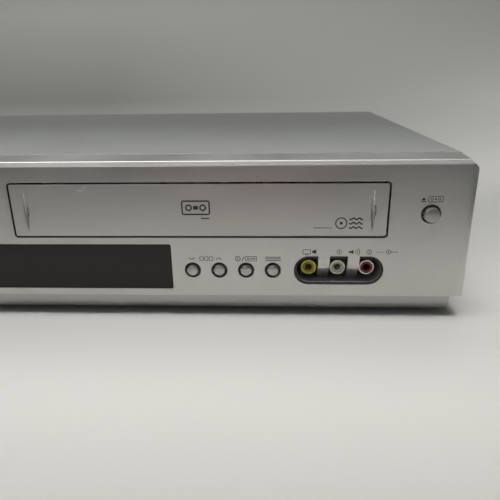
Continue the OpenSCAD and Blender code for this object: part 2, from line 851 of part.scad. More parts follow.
// Rack along +Y with its teeth towards +X; a gap is centred on y = gear_y
module rack_outline(y0, y1, m, play) {
  pitch = PI * m;
  first = ceil((y0 - gear_y) / pitch - 0.5);
  last = floor((y1 - gear_y) / pitch - 0.5);
  flank = tan(20);
  half = (PI * m / 2 - play) / 2;
  translate([rack_x - 1.25 * m - 2.8, y0]) square([2.8, y1 - y0]);
  for (k = [first:last]) translate([rack_x, gear_y + (k + 0.5) * pitch])
    polygon([[-1.3 * m, -half - 1.3 * m * flank], [0.8 * m, -half + 0.8 * m * flank],
             [0.8 * m, half - 0.8 * m * flank], [-1.3 * m, half + 1.3 * m * flank]]);
}

module loader_frame() {
  bar_y = tray_back + 1;
  color(BLACK) at_loader() difference() {
    union() {
      for (s = [-1, 1]) translate([s * (wall_in + wall_t / 2), 0, 0]) {
        box([-wall_t / 2, 8, loader_z], [wall_t / 2, bar_y + 10, loader_top]);
        // Guides under and over the drawer's edge
        translate([-s * (wall_t / 2 + 2.35), 0, 0])
          box([-2.45, 8, tray_z - 5.9], [2.45, bar_y + 1, tray_z - 3.9]);
        translate([-s * (wall_t / 2 + 1.35), 0, 0])
          box([-1.45, 20, tray_top + 1.6], [1.45, bar_y + 1, tray_top + 3]);
      }
      box([-wall_in - 1, 10, loader_z], [wall_in + 1, 42, loader_z + 2.5]);
      box([-wall_in - 1, bar_y, loader_z], [wall_in + 1, bar_y + 10, loader_z + 14]);
      for (s = [-1, 1]) translate([s * ear_mid, 0, 0])
        box([-1.5, bar_y - 13, loader_z + 2], [1.5, bar_y + 1, loader_z + 12]);
      for (s = [-1, 1], y = [20, tray_back + 4]) peg_z(s * (wall_in - 4.2), y, 4, floor_z, loader_z + 0.5);
      peg_z(gear_x, gear_y, 2, loader_z + 1, gear_z1 + 1);
    }
    peg_x(hinge_y, traverse_z, 2 + fit, -ear_mid - 3, ear_mid + 3);
    peg_z(motor_x, motor_y, 4, loader_z - 1, loader_z + 5);
  }
}

module disc_tray() {
  w = tray_w / 2;
  color(BLACK) at_loader() {
    difference() {
      union() {
        box([-w, drawer_t, tray_z], [w, tray_back, tray_top]);
        for (s = [-1, 1]) translate([s * (w - 1.25), 0, 0])
          box([-1.25, drawer_t, tray_z - 3.7], [1.25, tray_back, tray_top + 1.3]);
      }
      peg_z(0, disc_back, disc_r, tray_top - disc_recess, tray_top + 5);
      peg_z(0, disc_back, 41.5, tray_top - disc_recess - 0.8, tray_top + 5);
      peg_z(0, disc_back, slot_w / 2, tray_z - 1, tray_top + 1);
      box([-slot_w / 2, disc_back, tray_z - 1], [slot_w / 2, tray_back + 1, tray_top + 1]);
    }
    translate([0, 0, gear_z0]) linear_extrude(tray_z - gear_z0 + 0.1)
      rack_outline(rack_end, tray_back - 2, tooth, backlash);
  }
}

module tray_front() {
  color(SILVER) at_loader() upright(0, drawer_t) translate([0, door_z]) rounded(drawer_w, door_h, door_r);
}

module tray_gear() {
  color("#d8d6cc") at_loader() translate([gear_x, gear_y, 0]) difference() {
    union() {
      translate([0, 0, gear_z0]) linear_extrude(gear_z1 - gear_z0) gear_outline(gear_teeth, tooth, backlash);
      peg_z(0, 0, 4, loader_z + 2.8, gear_z1);
      peg_z(0, 0, pulley_r, pulley_z, pulley_z + 0.8);
      peg_z(0, 0, pulley_r - 1, pulley_z, pulley_z + 3.4);
      peg_z(0, 0, pulley_r, pulley_z + 2.6, pulley_z + 3.4);
    }
    peg_z(0, 0, 2 + fit, loader_z, gear_z1 + 1);
  }
}

module motor_pulley() {
  color("#d8d6cc") at_loader() translate([motor_x, motor_y, 0]) {
    peg_z(0, 0, small_pulley_r + 1, pulley_z, pulley_z + 0.8);
    peg_z(0, 0, small_pulley_r, pulley_z, pulley_z + 3.4);
    peg_z(0, 0, small_pulley_r + 1, pulley_z + 2.6, pulley_z + 3.4);
    peg_z(0, 0, 1, loader_z - 8, pulley_z + 1);
  }
}

module loading_motor() {
  color(STEEL) at_loader() translate([motor_x, motor_y, 0]) difference() {
    union() {
      peg_z(0, 0, 12, loader_z - 15, loader_z);
      peg_z(0, 0, 3.5, loader_z - 1, loader_z + 1.5);
    }
    peg_z(0, 0, 1 + fit, loader_z - 10, loader_z + 2);
  }
}

// Outline of a belt of thickness t round pulleys at (0, 0) and (d, 0)
module belt_outline(r1, r2, d, t) {
  a = acos((r1 - r2) / d);
  span = sqrt(d * d - (r1 - r2) * (r1 - r2));
  lap = 0.2;
  difference() {
    union() {
      circle(r1 + t);
      translate([d, 0]) circle(r2 + t);
    }
    circle(r1);
    translate([d, 0]) circle(r2);
    polygon([(r1 + t) * [cos(a), sin(a)], [d, 0] + (r2 + t) * [cos(a), sin(a)],
             [d, 0] + (r2 + t) * [cos(a), -sin(a)], (r1 + t) * [cos(a), -sin(a)]]);
  }
  for (s = [-1, 1]) scale([1, s]) rotate(a) translate([r1, -span - lap]) square([t, span + 2 * lap]);
}

module loading_belt() {
  d = norm([motor_x - gear_x, motor_y - gear_y]);
  big = pulley_r - 1 + fit;
  small = small_pulley_r + fit;
  color(BLACK) at_loader() translate([gear_x, gear_y, pulley_z + 0.9])
    rotate(atan2(motor_y - gear_y, motor_x - gear_x)) linear_extrude(1.6)
      belt_outline(big, small, d, belt_t);
}

module clamp_bridge() {
  color(STEEL) at_loader() difference() {
    box([-wall_in - wall_t, disc_back - 18, bridge_z], [wall_in + wall_t, disc_back + 18, bridge_z + 1.6]);
    peg_z(0, disc_back, 16, bridge_z - 1, bridge_z + 3);
  }
}

module clamper() {
  color(BLACK) at_loader() translate([0, disc_back, 0]) {
    peg_z(0, 0, 15.5, table_z + 2.8, bridge_z + 2);
    peg_z(0, 0, 19, bridge_z + 1.6 + air, bridge_z + 3.4);
  }
}

module traverse() {
  top = loader_z + 6;
  color(BLACK) at_loader() {
    difference() {
      box([-33, disc_back - 28, loader_z + 4], [33, hinge_y + 2, top]);
      box([-17, disc_back + 17, loader_z], [17, disc_back + 75, top + 1]);
    }
    for (s = [-1, 1], y = [disc_back + 12, hinge_y - 12]) difference() {
      translate([s * rod_x, y, 0]) box([-3, 0, top - 0.1], [3, 3, top + 5.2]);
      peg_y(s * rod_x, rod_z, rod_r + fit, y - 1, y + 4);
    }
    difference() {
      translate([screw_x, disc_back + 12.5, 0]) box([-2, 0, top - 0.1], [2, 2.5, top + 8]);
      peg_y(screw_x, sled_screw_z, 1.2 + fit, disc_back, disc_back + 20);
    }
    box([screw_x - 4, sled_motor_y + 1, top - 0.1], [screw_x + 4, hinge_y - 14, top + 0.9]);
    for (s = [-1, 1]) {
      translate([s * 31.5, 0, 0]) box([-1.5, hinge_y - 4, top - 0.1], [1.5, hinge_y + 2, top + 5]);
      translate([s * (ear_mid + 32) / 2, 0, 0])
        peg_x(hinge_y, traverse_z, 2, -(ear_mid - 30) / 2, (ear_mid - 30) / 2);
    }
  }
}

module sled_drive() {
  color(STEEL) at_loader() {
    for (s = [-1, 1]) peg_y(s * rod_x, rod_z, rod_r, disc_back + 12, hinge_y - 9);
    difference() {
      peg_z(0, disc_back, 11.5, loader_z + 6, loader_z + 14);
      peg_z(0, disc_back, 1 + fit, loader_z + 7, loader_z + 15);
    }
    difference() {
      peg_y(screw_x, sled_screw_z, 5, sled_motor_y, hinge_y - 12.5);
      peg_y(screw_x, sled_screw_z, 1.2 + fit, sled_motor_y - 1, sled_motor_y + 4);
    }
  }
}

module turntable() {
  color(BLACK) at_loader() translate([0, disc_back, 0]) {
    peg_z(0, 0, 1, loader_z + 7.5, table_z);
    peg_z(0, 0, 13, table_z - 1.6, table_z);
    peg_z(0, 0, 7.4, table_z - 0.1, table_z + 1.2);
    translate([0, 0, table_z + 1.2]) cylinder(r1 = 7.4, r2 = 5.5, h = 0.8);
  }
}

module optical_pickup() {
  z = loader_z + 7;
  color(STEEL) at_loader() translate([0, pickup_y, 0]) {
    difference() {
      union() {
        box([-18.6, -11, z], [18.6, 11, z + 8]);
        for (s = [-1, 1]) translate([s * rod_x, 0, 0]) box([-3.5, -7, z - 0.4], [3.5, 7, z + 4.4]);
        box([screw_x - 1.6, -3, rod_z], [-rod_x - 2.5, 3, sled_screw_z - 1.4]);
      }
      for (s = [-1, 1]) peg_y(s * rod_x, rod_z, rod_r + fit, -12, 12);
    }
    peg_z(0, 0, 4, z + 7.9, table_z - 1.4);
  }
}

module lead_screw() {
  color(STEEL) at_loader() {
    peg_y(screw_x, sled_screw_z, 1.2, disc_back + 13, sled_motor_y + 3);
    for (y = [disc_back + 17 : 3 : sled_motor_y - 3]) peg_y(screw_x, sled_screw_z, 1.3, y, y + 1);
  }
}

// ---- Tape deck ----

module at_deck() {
  seated() translate([door_x, 0, 0]) children();
}

// Slot in the deck plate for a guide that slides from a point at an angle
module track(from, turn) {
  translate([from[0], from[1], deck_z - 1]) rotate(turn) {
    for (y = [0, guide_travel]) translate([0, y, 0]) cylinder(r = 1.8, h = deck_t + 2);
    translate([-1.8, 0, 0]) cube([3.6, guide_travel, deck_t + 2]);
  }
}

module deck_chassis() {
  w = side_in + side_t + 3.6;
  color(STEEL) at_deck() {
    difference() {
      box([-w, holder_y + 2, deck_z], [w, drum_back + 34, deck_top]);
      track(supply_from, supply_turn);
      track(takeup_from, takeup_turn);
      peg_z(capstan_x, capstan_y, 5 + loose, deck_z - 1, deck_top + 1);
      for (s = [-1, 1]) translate([s * 84, 0, 0]) box([-6, 80, 0], [6, 150, case_h]);
      translate([0, 92, 0]) box([-22, -20, 0], [22, 20, case_h]);
    }
    for (s = [-1, 1]) peg_z(s * reel_pitch / 2, reel_back, 2, deck_z, deck_top + 13);
    for (s = [-1, 1], y = legs_y) peg_z(s * legs_x, y, 3.5, floor_z, deck_z + 0.2);
    peg_z(0, reel_back + 20, 2.5, deck_z, deck_top + 17);
    peg_z(arm_x, arm_y, 2, deck_z, deck_top + 12);
  }
}

module carriage_sides() {
  slot_r = 1.5 + loose;
  color(STEEL) at_deck() for (s = [-1, 1]) {
    translate([s * (side_in + side_t / 2), 0, 0]) difference() {
      box([-side_t / 2, holder_y + 3, deck_top], [side_t / 2, lift_y + carriage_travel + 20, side_top]);
      for (y = [slide_pins_y[0], slide_pins_y[1] + carriage_travel])
        peg_x(y, slide_pin_z, slot_r, -side_t, side_t);
      box([-side_t, slide_pins_y[0], slide_pin_z - slot_r],
          [side_t, slide_pins_y[1] + carriage_travel, slide_pin_z + slot_r]);
    }
    translate([s * (side_in + side_t + 1.5), 0, 0])
      box([-1.7, holder_y + 12, deck_top], [1.7, lift_y + carriage_travel + 10, deck_top + side_t]);
  }
}

module carriage_slider() {
  pin_end = side_in + side_t + 0.8;
  low_z = lift_pin_z - drop;
  color(STEEL) at_deck() {
    box([-cheek_in - 1, lift_y - 12, holder_top + 2.4], [cheek_in + 1, lift_y + 12, holder_top + 3.6]);
    for (s = [-1, 1]) {
      translate([s * (cheek_in + 0.6), 0, 0]) difference() {
        box([-0.6, lift_y - 12, low_z - 5], [0.6, lift_y + 12, slide_pin_z + 2.5]);
        for (z = [low_z, lift_pin_z]) peg_x(lift_y, z, lift_pin_r + loose, -1, 1);
        box([-1, lift_y - lift_pin_r - loose, low_z], [1, lift_y + lift_pin_r + loose, lift_pin_z]);
      }
      for (y = slide_pins_y) translate([s * (cheek_in + pin_end) / 2, 0, 0])
        peg_x(y, slide_pin_z, 1.5, -(pin_end - cheek_in) / 2, (pin_end - cheek_in) / 2);
    }
  }
}

module cassette_holder() {
  w = holder_in + holder_t;
  y1 = holder_y + vhs_d - 2;
  pin_end = cheek_in + 1.7;
  color(STEEL) at_deck() {
    difference() {
      box([-w, holder_y, cassette_z - holder_t], [w, y1, holder_top + holder_t]);
      box([-holder_in, holder_y - 1, cassette_z], [holder_in, y1 + 1, holder_top]);
      box([-holder_in + 14, holder_y - 1, 0], [holder_in - 14, y1 + 1, holder_top]);
      box([-50, holder_y + 30, cassette_z], [50, y1 - 20, case_h]);
    }
    for (s = [-1, 1]) translate([s * (w + pin_end) / 2, 0, 0])
      peg_x(lift_y, lift_pin_z, lift_pin_r, -(pin_end - w) / 2 - 0.2, (pin_end - w) / 2);
  }
}

// The drum's leaning axis starts on the deck plate
module at_drum() {
  at_deck() translate([drum_x, drum_back, deck_top]) rotate([drum_lean, 0, 0]) children();
}

module lower_drum() {
  color(STEEL) {
    at_deck() difference() {
      peg_z(drum_x, drum_back, 22, deck_top, deck_top + 3);
      peg_z(drum_x, drum_back, 8, deck_top - 1, deck_top + 4);
    }
    at_drum() difference() {
      union() {
        peg_z(0, 0, 14, 1.8, drum_base + 1);
        peg_z(0, 0, drum_r, drum_base, drum_base + 14);
      }
      peg_z(0, 0, 3 + fit, 0, drum_base + 15);
    }
  }
}

module upper_drum() {
  z = drum_base + 14 + air;
  color("#c4c6c8") at_drum() {
    peg_z(0, 0, 3, drum_base - 2, z + 1);
    difference() {
      peg_z(0, 0, drum_r, z, z + 12);
      for (a = [0:60:300]) rotate(a) translate([drum_r - 1, -1.2, z - 1]) cube([4, 2.4, 3]);
    }
    peg_z(0, 0, 16, z + 11.9, z + 17);
  }
}

module capstan() {
  color(STEEL) at_deck() {
    peg_z(capstan_x, capstan_y, capstan_r, deck_z - 10.4, deck_top + 28);
    peg_z(capstan_x, capstan_y, 21, deck_z - 10.4, deck_z - 5.2);
  }
}

module capstan_motor() {
  color("#6a5a3a") at_deck() difference() {
    union() {
      peg_z(capstan_x, capstan_y, 14, deck_z - 4.9, deck_z);
      peg_z(capstan_x, capstan_y, 5, deck_z - 1, deck_top + 5);
    }
    peg_z(capstan_x, capstan_y, capstan_r + fit, deck_z - 6, deck_top + 6);
  }
}

module pinch_arm() {
  color(STEEL) at_deck() {
    difference() {
      translate([arm_x, arm_y, deck_top + 6]) rotate(arm_rest) {
        cylinder(r = 4.5, h = 2.5);
        translate([arm_l, 0, 0]) cylinder(r = 4.5, h = 2.5);
        translate([0, -3.5, 0]) cube([arm_l, 7, 2.5]);
      }
      peg_z(arm_x, arm_y, 2 + fit, deck_top, deck_top + 10);
    }
    peg_z(roller_x, roller_y, 1.5, deck_top + 8, deck_top + 26);
  }
}

module pinch_roller() {
  color(BLACK) at_deck() difference() {
    peg_z(roller_x, roller_y, roller_r, deck_top + 9, deck_top + 24);
    peg_z(roller_x, roller_y, 1.5 + fit, deck_top + 8, deck_top + 25);
  }
}

module reel(x) {
  color("#3a3a3c") at_deck() translate([x, reel_back, deck_top]) {
    difference() {
      union() {
        peg_z(0, 0, reel_r, 0.4, 3.4);
        peg_z(0, 0, 7, 3.3, 12);
        for (a = [0, 120, 240]) rotate(a) box([5, -1.2, 3.3], [9.5, 1.2, 11]);
      }
      peg_z(0, 0, 2 + fit, 0, 14);
    }
  }
}

module supply_reel() {
  reel(-reel_pitch / 2);
}

module takeup_reel() {
  reel(reel_pitch / 2);
}

// Guide post on its sliding base, held in its track by a button below the plate
module guide(from, turn) {
  color("#c4c6c8") at_deck() translate([from[0], from[1], deck_top]) rotate(turn) {
    box([-4, -4.5, air], [4, 4.5, 2.8]);
    peg_z(0, 0, 1.5, -deck_t - 1, 1);
    peg_z(0, 0, 3, -deck_t - 1.8, -deck_t - air);
    peg_z(0, 0, post_r, 2.7, 27);
    for (z = [8, 24]) peg_z(0, 0, post_r + 1, z, z + 1);
  }
}

module supply_guide() {
  guide(supply_from, supply_turn);
}

module takeup_guide() {
  guide(takeup_from, takeup_turn);
}

module tape_heads() {
  color("#b08a4a") at_deck() {
    peg_z(-62, 200, 3, deck_top, deck_top + 9);
    box([-66, 196, deck_top + 8], [-58, 204, deck_top + 24]);
    peg_z(58, 218, 3, deck_top, deck_top + 9);
    box([53, 213, deck_top + 8], [63, 223, deck_top + 24]);
  }
}

// ---- Boards and rear sockets ----

module flat_board(from, to) {
  box([from[0], from[1], board_z], [to[0], to[1], board_face]);
}

module main_board() {
  color(BOARD) seated() {
    flat_board(main_from, main_to);
    flat_board(disc_from, disc_to);
    for (p = [[20, 90], [60, 120], [110, 220], [-130, 80], [-90, 120]])
      box([p[0], p[1], board_face - 0.1], [p[0] + 22, p[1] + 22, board_face + 2.6]);
    for (x = [0:16:128]) peg_z(x, board_rear - 22, 4, board_face - 0.1, board_face + 9);
  }
}

module power_board() {
  front = power_from[1];
  sink_y = board_rear - 32;
  color(BOARD) seated() {
    flat_board(power_from, power_to);
    // Transformer, two large capacitors and the heat sink
    translate([power_from[0] + 10, front + 10, board_face - 0.1]) cube([38, 36, 30]);
    for (x = [-136, -108]) peg_z(x, front + 22, 11, board_face - 0.1, board_face + 32);
    for (i = [0:6]) translate([-140 + i * 10, sink_y + 2, board_face - 0.1]) cube([2, 16, 40]);
    translate([-140, sink_y, board_face - 0.1]) cube([62, 3, 40]);
  }
}

module rear_sockets() {
  face = case_d + 0.5;
  color(BLACK) seated() {
    for (x = scart_x) translate([x, 0, scart_z]) difference() {
      union() {
        upright(rear_y - 11, face) square([scart_w, scart_h], center = true);
        upright(rear_y - 4, rear_y) square([scart_w + 10, scart_h + 4], center = true);
      }
      difference() {
        upright(face - 10, face + 1) square([scart_w - 3, scart_h - 3], center = true);
        upright(face - 11, face + 2) square([scart_w - 8, scart_h - 9], center = true);
      }
    }
    box([rear_jack_x[0] - 8, rear_y - 14, rear_jack_z - 10],
        [rear_jack_x[2] + 8, rear_y - 0.8 - 1, rear_jack_z + 10]);
  }
}

module tuner_module() {
  color(STEEL) seated() {
    box([aerial_x[0] - 8.5, rear_y - 34, floor_z + 11], [aerial_x[1] + 8.5, rear_y, aerial_z + 12]);
    difference() {
      peg_y(aerial_x[0], aerial_z, 6, rear_y - 1, case_d + jack_out - 1);
      peg_y(aerial_x[0], aerial_z, 4.8, case_d - 2, case_d + jack_out);
    }
    peg_y(aerial_x[0], aerial_z, 1.3, case_d - 3, case_d + jack_out - 3);
    difference() {
      union() {
        peg_y(aerial_x[1], aerial_z, 6, rear_y - 1, case_d);
        peg_y(aerial_x[1], aerial_z, aerial_r, case_d - 1, case_d + jack_out - 1);
      }
      peg_y(aerial_x[1], aerial_z, 3.9, case_d - 2, case_d + jack_out);
    }
    peg_y(aerial_x[1], aerial_z, 1.2, case_d - 3, case_d + jack_out - 2);
  }
}

module mains_inlet() {
  color(BLACK) seated() translate([inlet_x, 0, inlet_z]) {
    difference() {
      union() {
        upright(rear_y - 18, case_d) rounded(inlet_w, inlet_h, 1.5);
        upright(rear_y - 3, rear_y) rounded(inlet_w + 6, inlet_h + 6, 2);
      }
      upright(case_d - 15, case_d + 1) obround(16, 8.2);
    }
    for (s = [-1, 1]) peg_y(s * 4.3, 0, 1.2, case_d - 16, case_d - 3);
  }
}

module ribbon_cables() {
  flat = 0.4;
  z = board_bottom + 4;
  bend = main_from[1] + 6;
  color("#cfcfc8") seated() {
    lengthwise(20, 50) {
      translate([board_a_y + board_t, z]) square([bend - board_a_y - board_t, flat]);
      translate([bend - flat, board_face]) square([flat, z + flat - board_face]);
    }
    box([power_to[0] - 10, power_from[1] + 20, board_face], [main_from[0] + 8, power_from[1] + 40, board_face + flat]);
    box([disc_to[0] - 8, 84, board_face], [main_from[0] + 8, 104, board_face + flat]);
  }
}

front_panel();
top_cover();
bottom_chassis();
rear_panel();
feet();
cover_screws();
cassette_door();
door_spring();
display_window();
aux_pocket();
jack_sleeves();
yellow_cores();
white_cores();
red_cores();
front_boards();
eject_button();
standby_button();
open_close_button();
stop_button();
play_button();
record_button();
prog_down_button();
prog_up_button();
source_button();
scan_button();
loader_frame();
disc_tray();
tray_front();
tray_gear();
motor_pulley();
loading_motor();
loading_belt();
clamp_bridge();
clamper();
traverse();
sled_drive();
turntable();
optical_pickup();
lead_screw();
deck_chassis();
carriage_sides();
carriage_slider();
cassette_holder();
lower_drum();
upper_drum();
capstan();
capstan_motor();
pinch_arm();
pinch_roller();
supply_reel();
takeup_reel();
supply_guide();
takeup_guide();
tape_heads();
main_board();
power_board();
rear_sockets();
tuner_module();
mains_inlet();
ribbon_cables();
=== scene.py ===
"""Disc and cassette player: its finishes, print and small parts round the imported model.

Everything is in the model's own frame, in metres: X to the right, Y to the rear, Z up,
with the origin under the middle of the whole box. Shapes are worked out in millimetres
on the front face, where z is counted from the ground.
"""

import math

import bmesh
import bpy
import numpy as np
from mathutils import Matrix, Vector

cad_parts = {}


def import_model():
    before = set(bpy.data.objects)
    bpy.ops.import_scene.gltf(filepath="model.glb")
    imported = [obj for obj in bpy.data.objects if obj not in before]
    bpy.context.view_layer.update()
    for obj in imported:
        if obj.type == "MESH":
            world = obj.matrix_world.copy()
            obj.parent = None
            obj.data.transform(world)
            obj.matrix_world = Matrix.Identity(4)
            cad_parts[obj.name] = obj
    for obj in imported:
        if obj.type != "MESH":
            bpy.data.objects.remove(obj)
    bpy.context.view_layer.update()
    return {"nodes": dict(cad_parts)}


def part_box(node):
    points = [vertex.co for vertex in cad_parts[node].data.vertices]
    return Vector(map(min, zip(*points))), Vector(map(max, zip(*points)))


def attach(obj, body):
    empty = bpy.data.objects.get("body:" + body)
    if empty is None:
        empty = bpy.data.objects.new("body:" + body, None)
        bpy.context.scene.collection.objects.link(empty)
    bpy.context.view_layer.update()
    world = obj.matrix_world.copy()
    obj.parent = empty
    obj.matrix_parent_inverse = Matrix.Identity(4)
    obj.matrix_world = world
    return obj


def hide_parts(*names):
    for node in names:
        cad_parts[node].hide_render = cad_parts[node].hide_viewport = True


MM = 0.001
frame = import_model()
nodes = frame["nodes"]


def corners(node):
    """Lowest and highest corner of a node, in millimetres."""
    low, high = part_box(node)
    return np.array(low) / MM, np.array(high) / MM


def middle(node):
    """Middle of a node's box, in millimetres."""
    low, high = corners(node)
    return (low + high) / 2


# The face's plane, the bottom of the face, which all heights on it are measured from, and the
# middle of the cassette door
FACE_Y = corners("cassette_door")[0][1]
FACE_Z = middle("tray_front")[2] - 48.9
DOOR_X = 70.2
# Half the door's width without its hinge, and half the height of both door plates
DOOR_HALF_W, PLATE_HALF_H = 99.5, 14.1
# How far the print stands proud
PRINT_T = 0.04


# ---- Materials ----


def linear(text):
    """Hex sRGB to linear RGBA: c / 12.92 up to 0.04045, else ((c + 0.055) / 1.055) ** 2.4."""
    values = [int(text[i : i + 2], 16) / 255 for i in (1, 3, 5)]
    return [v / 12.92 if v <= 0.04045 else ((v + 0.055) / 1.055) ** 2.4 for v in values] + [1.0]


def add(tree, kind, inputs=None, stops=None, **settings):
    """Adds a node: settings are its properties, inputs are values or (node, output) links.

    stops are the (place, colour) points of a colour ramp.
    """
    made = tree.nodes.new(kind)
    for name, value in settings.items():
        setattr(made, name, value)
    for name, value in (inputs or {}).items():
        socket = made.inputs[name]
        if isinstance(value, tuple) and isinstance(value[0], bpy.types.Node):
            tree.links.new(value[0].outputs[value[1]], socket)
        else:
            socket.default_value = value
    if stops:
        points = made.color_ramp.elements
        for index, (place, colour) in enumerate(stops):
            point = points[index] if index < len(points) else points.new(place)
            point.position, point.color = place, colour
    return made


def shade(value, factor):
    """A linear colour times a factor."""
    return [c * factor for c in value[:3]] + [1.0]


def blank(name):
    """New material with an empty node tree, and that tree."""
    material = bpy.data.materials.new(name)
    material.use_nodes = True
    material.node_tree.nodes.clear()
    return material, material.node_tree


def finish(name, hex_colour, grain_mm=0.5, spread=0.06, bump=0.02, bump_mm=1.2, stretch=(1, 1, 1),
           cloud_mm=40.0, cloud=0.03, rough_spread=0.05, **shader):
    """A surface whose colour varies with a fine grain and a slow cloud, in Object coordinates.

    grain_mm and cloud_mm are the sizes of the two patterns, spread and cloud their share of
    the colour; bump is the height of the bump_mm texture in millimetres, and stretch scales
    the fine patterns along each axis, as brushing does.
    """
    material, tree = blank(name)
    colour = linear(hex_colour)
    place = add(tree, "ShaderNodeTexCoord")
    run = add(tree, "ShaderNodeMapping", {"Vector": (place, "Object"), "Scale": stretch})
    grain = add(tree, "ShaderNodeTexNoise",
                {"Vector": (run, "Vector"), "Scale": 1 / (grain_mm * MM), "Detail": 2.0})
    slow = add(tree, "ShaderNodeTexNoise",
               {"Vector": (place, "Object"), "Scale": 1 / (cloud_mm * MM), "Detail": 3.0})
    fine = add(tree, "ShaderNodeValToRGB", {"Fac": (grain, "Fac")},
               [(0.3, shade(colour, 1 - spread)), (0.7, shade(colour, 1 + spread))])
    tint = add(tree, "ShaderNodeValToRGB", {"Fac": (slow, "Fac")},
               [(0.3, [1 - cloud] * 3 + [1]), (0.7, [1.0, 1.0, 1.0, 1.0])])
    body = add(tree, "ShaderNodeMix", {0: 1.0, 6: (fine, "Color"), 7: (tint, "Color")},
               data_type="RGBA", blend_type="MULTIPLY")
    low = max(shader.get("Roughness", 0.5) - rough_spread, 0.02)
    high = min(shader.get("Roughness", 0.5) + rough_spread, 1.0)
    worn = add(tree, "ShaderNodeMapRange", {"Value": (slow, "Fac"), "From Min": 0.3, "From Max": 0.7,
                                            "To Min": low, "To Max": high})
    texture = add(tree, "ShaderNodeTexNoise",
                  {"Vector": (run, "Vector"), "Scale": 1 / (bump_mm * MM), "Detail": 3.0})
    relief = add(tree, "ShaderNodeBump", {"Height": (texture, "Fac"), "Strength": 1.0, "Distance": bump * MM})
    skin = add(tree, "ShaderNodeBsdfPrincipled",
               {"Base Color": (body, 2), "Roughness": (worn, "Result"), "Normal": (relief, "Normal")})
    for key, value in shader.items():
        if key != "Roughness":
            skin.inputs[key].default_value = value
    add(tree, "ShaderNodeOutputMaterial", {"Surface": (skin, "BSDF")})
    return material


# ABS moulding sprayed with silver paint: fine metal flake, satin
silver_paint = finish("silver_painted_abs", "#cfcecb", 0.6, 0.04, 0.005, 0.9, Metallic=0.85, Roughness=0.34)
# Painted shade: a darker copy of the silver coat, for the skirt and the walls of the button holes
shaded_silver_paint = finish("silvered_abs_painted_shade", "#b8b7b4", 0.6, 0.04, 0.005, 0.9, Metallic=0.85, Roughness=0.36)
# The same paint on the caps, a little smoother from handling
cap_paint = finish("silver_painted_cap", "#b6b5b2", 0.5, 0.04, 0.003, 0.8, Metallic=0.85, Roughness=0.28)
# Steel sheet with a satin grey powder coat: even, slightly pebbled
cover_paint = finish("grey_coated_steel", "#8b8d8b", 0.7, 0.05, 0.02, 1.0, Metallic=0.25, Roughness=0.42)
# Zinc-plated steel sheet: cool, with a faint cloudy bloom
zinc_steel = finish("zinc_plated_steel", "#aeb3b6", 0.8, 0.05, 0.004, 1.5, cloud_mm=18, cloud=0.12,
                    Metallic=1.0, Roughness=0.34)
# Turned and ground steel: bright
bright_steel = finish("ground_steel", "#c8cacc", 0.4, 0.04, 0.002, 0.3, Metallic=1.0, Roughness=0.2)
# Machined aluminium of the head drum: fine turned lines
drum_alloy = finish("turned_aluminium", "#c6c8ca", 0.3, 0.05, 0.004, 0.25, (0.2, 0.2, 3), Metallic=1.0,
                    Roughness=0.25)
# Nickel-plated brass shells of the jacks
jack_nickel = finish("nickel_plated_brass", "#b9b19c", 0.4, 0.03, 0.001, 0.5, Metallic=1.0, Roughness=0.24)
# Neoprene: dull black
black_rubber = finish("black_rubber", "#1b1b1c", 0.6, 0.15, 0.03, 0.7, Roughness=0.78)
# Smoked acrylic under a hard coat: near black, mirror smooth
smoked_acrylic = finish("smoked_acrylic", "#0e0709", 3.0, 0.03, 0.0, 1.0, rough_spread=0.01,
                        Roughness=0.07, IOR=1.44)
# Smoky moulded polystyrene of the jack pocket
smoky_plastic = finish("smoky_polystyrene", "#8b878c", 0.8, 0.06, 0.004, 1.2, Roughness=0.3)
# Grey mouldings round the caps of the buttons, in the shade of the panel
grey_abs = finish("grey_moulded_abs", "#5c5c57", 0.7, 0.08, 0.01, 0.8, Roughness=0.5)
# Dull black mouldings: loader, drawer and reels
black_abs = finish("black_moulded_abs", "#232327", 0.7, 0.1, 0.02, 0.8, Roughness=0.48)
# Natural acetal: gears and pulleys
acetal = finish("natural_acetal", "#dcd9cd", 0.7, 0.03, 0.002, 0.8, Roughness=0.4)
# Coloured insulators of the jacks
yellow_core = finish("yellow_insulator", "#a8983a", 0.6, 0.05, 0.002, 0.8, Roughness=0.38)
white_core = finish("ivory_insulator", "#cfc9b8", 0.6, 0.04, 0.002, 0.8, Roughness=0.38)
red_core = finish("dark_red_insulator", "#741422", 0.6, 0.05, 0.002, 0.8, Roughness=0.38)
# Shells of the front jacks: their nickel is tinted with the colour of the insulator, a painted reflection of
# it
yellow_shell = finish("nickel_beside_yellow", "#b3ab52", 0.4, 0.03, 0.001, 0.5, Metallic=0.8, Roughness=0.26)
red_shell = finish("nickel_beside_red", "#d8bfbc", 0.4, 0.03, 0.001, 0.5, Metallic=0.8, Roughness=0.26)
# Screen print on the painted face
print_ink = finish("grey_print_ink", "#2f2f2f", 0.5, 0.1, 0.0, 1.0, Roughness=0.6)
# Paint rubbed thin: paler and duller than the coat round it
rubbed_paint = finish("rubbed_silver_paint", "#f2f2f0", 0.3, 0.1, 0.0, 0.5, Metallic=0.5, Roughness=0.5)
# Ribbon cable jacket
ribbon_grey = finish("ribbon_cable_grey", "#c9c9c2", 1.2, 0.05, 0.01, 1.2, (6, 1, 1), Roughness=0.5)
# Varnished copper: the windings at the capstan motor and heads
copper_brown = finish("varnished_copper", "#8a5a30", 0.5, 0.12, 0.02, 0.6, Metallic=0.6, Roughness=0.35)


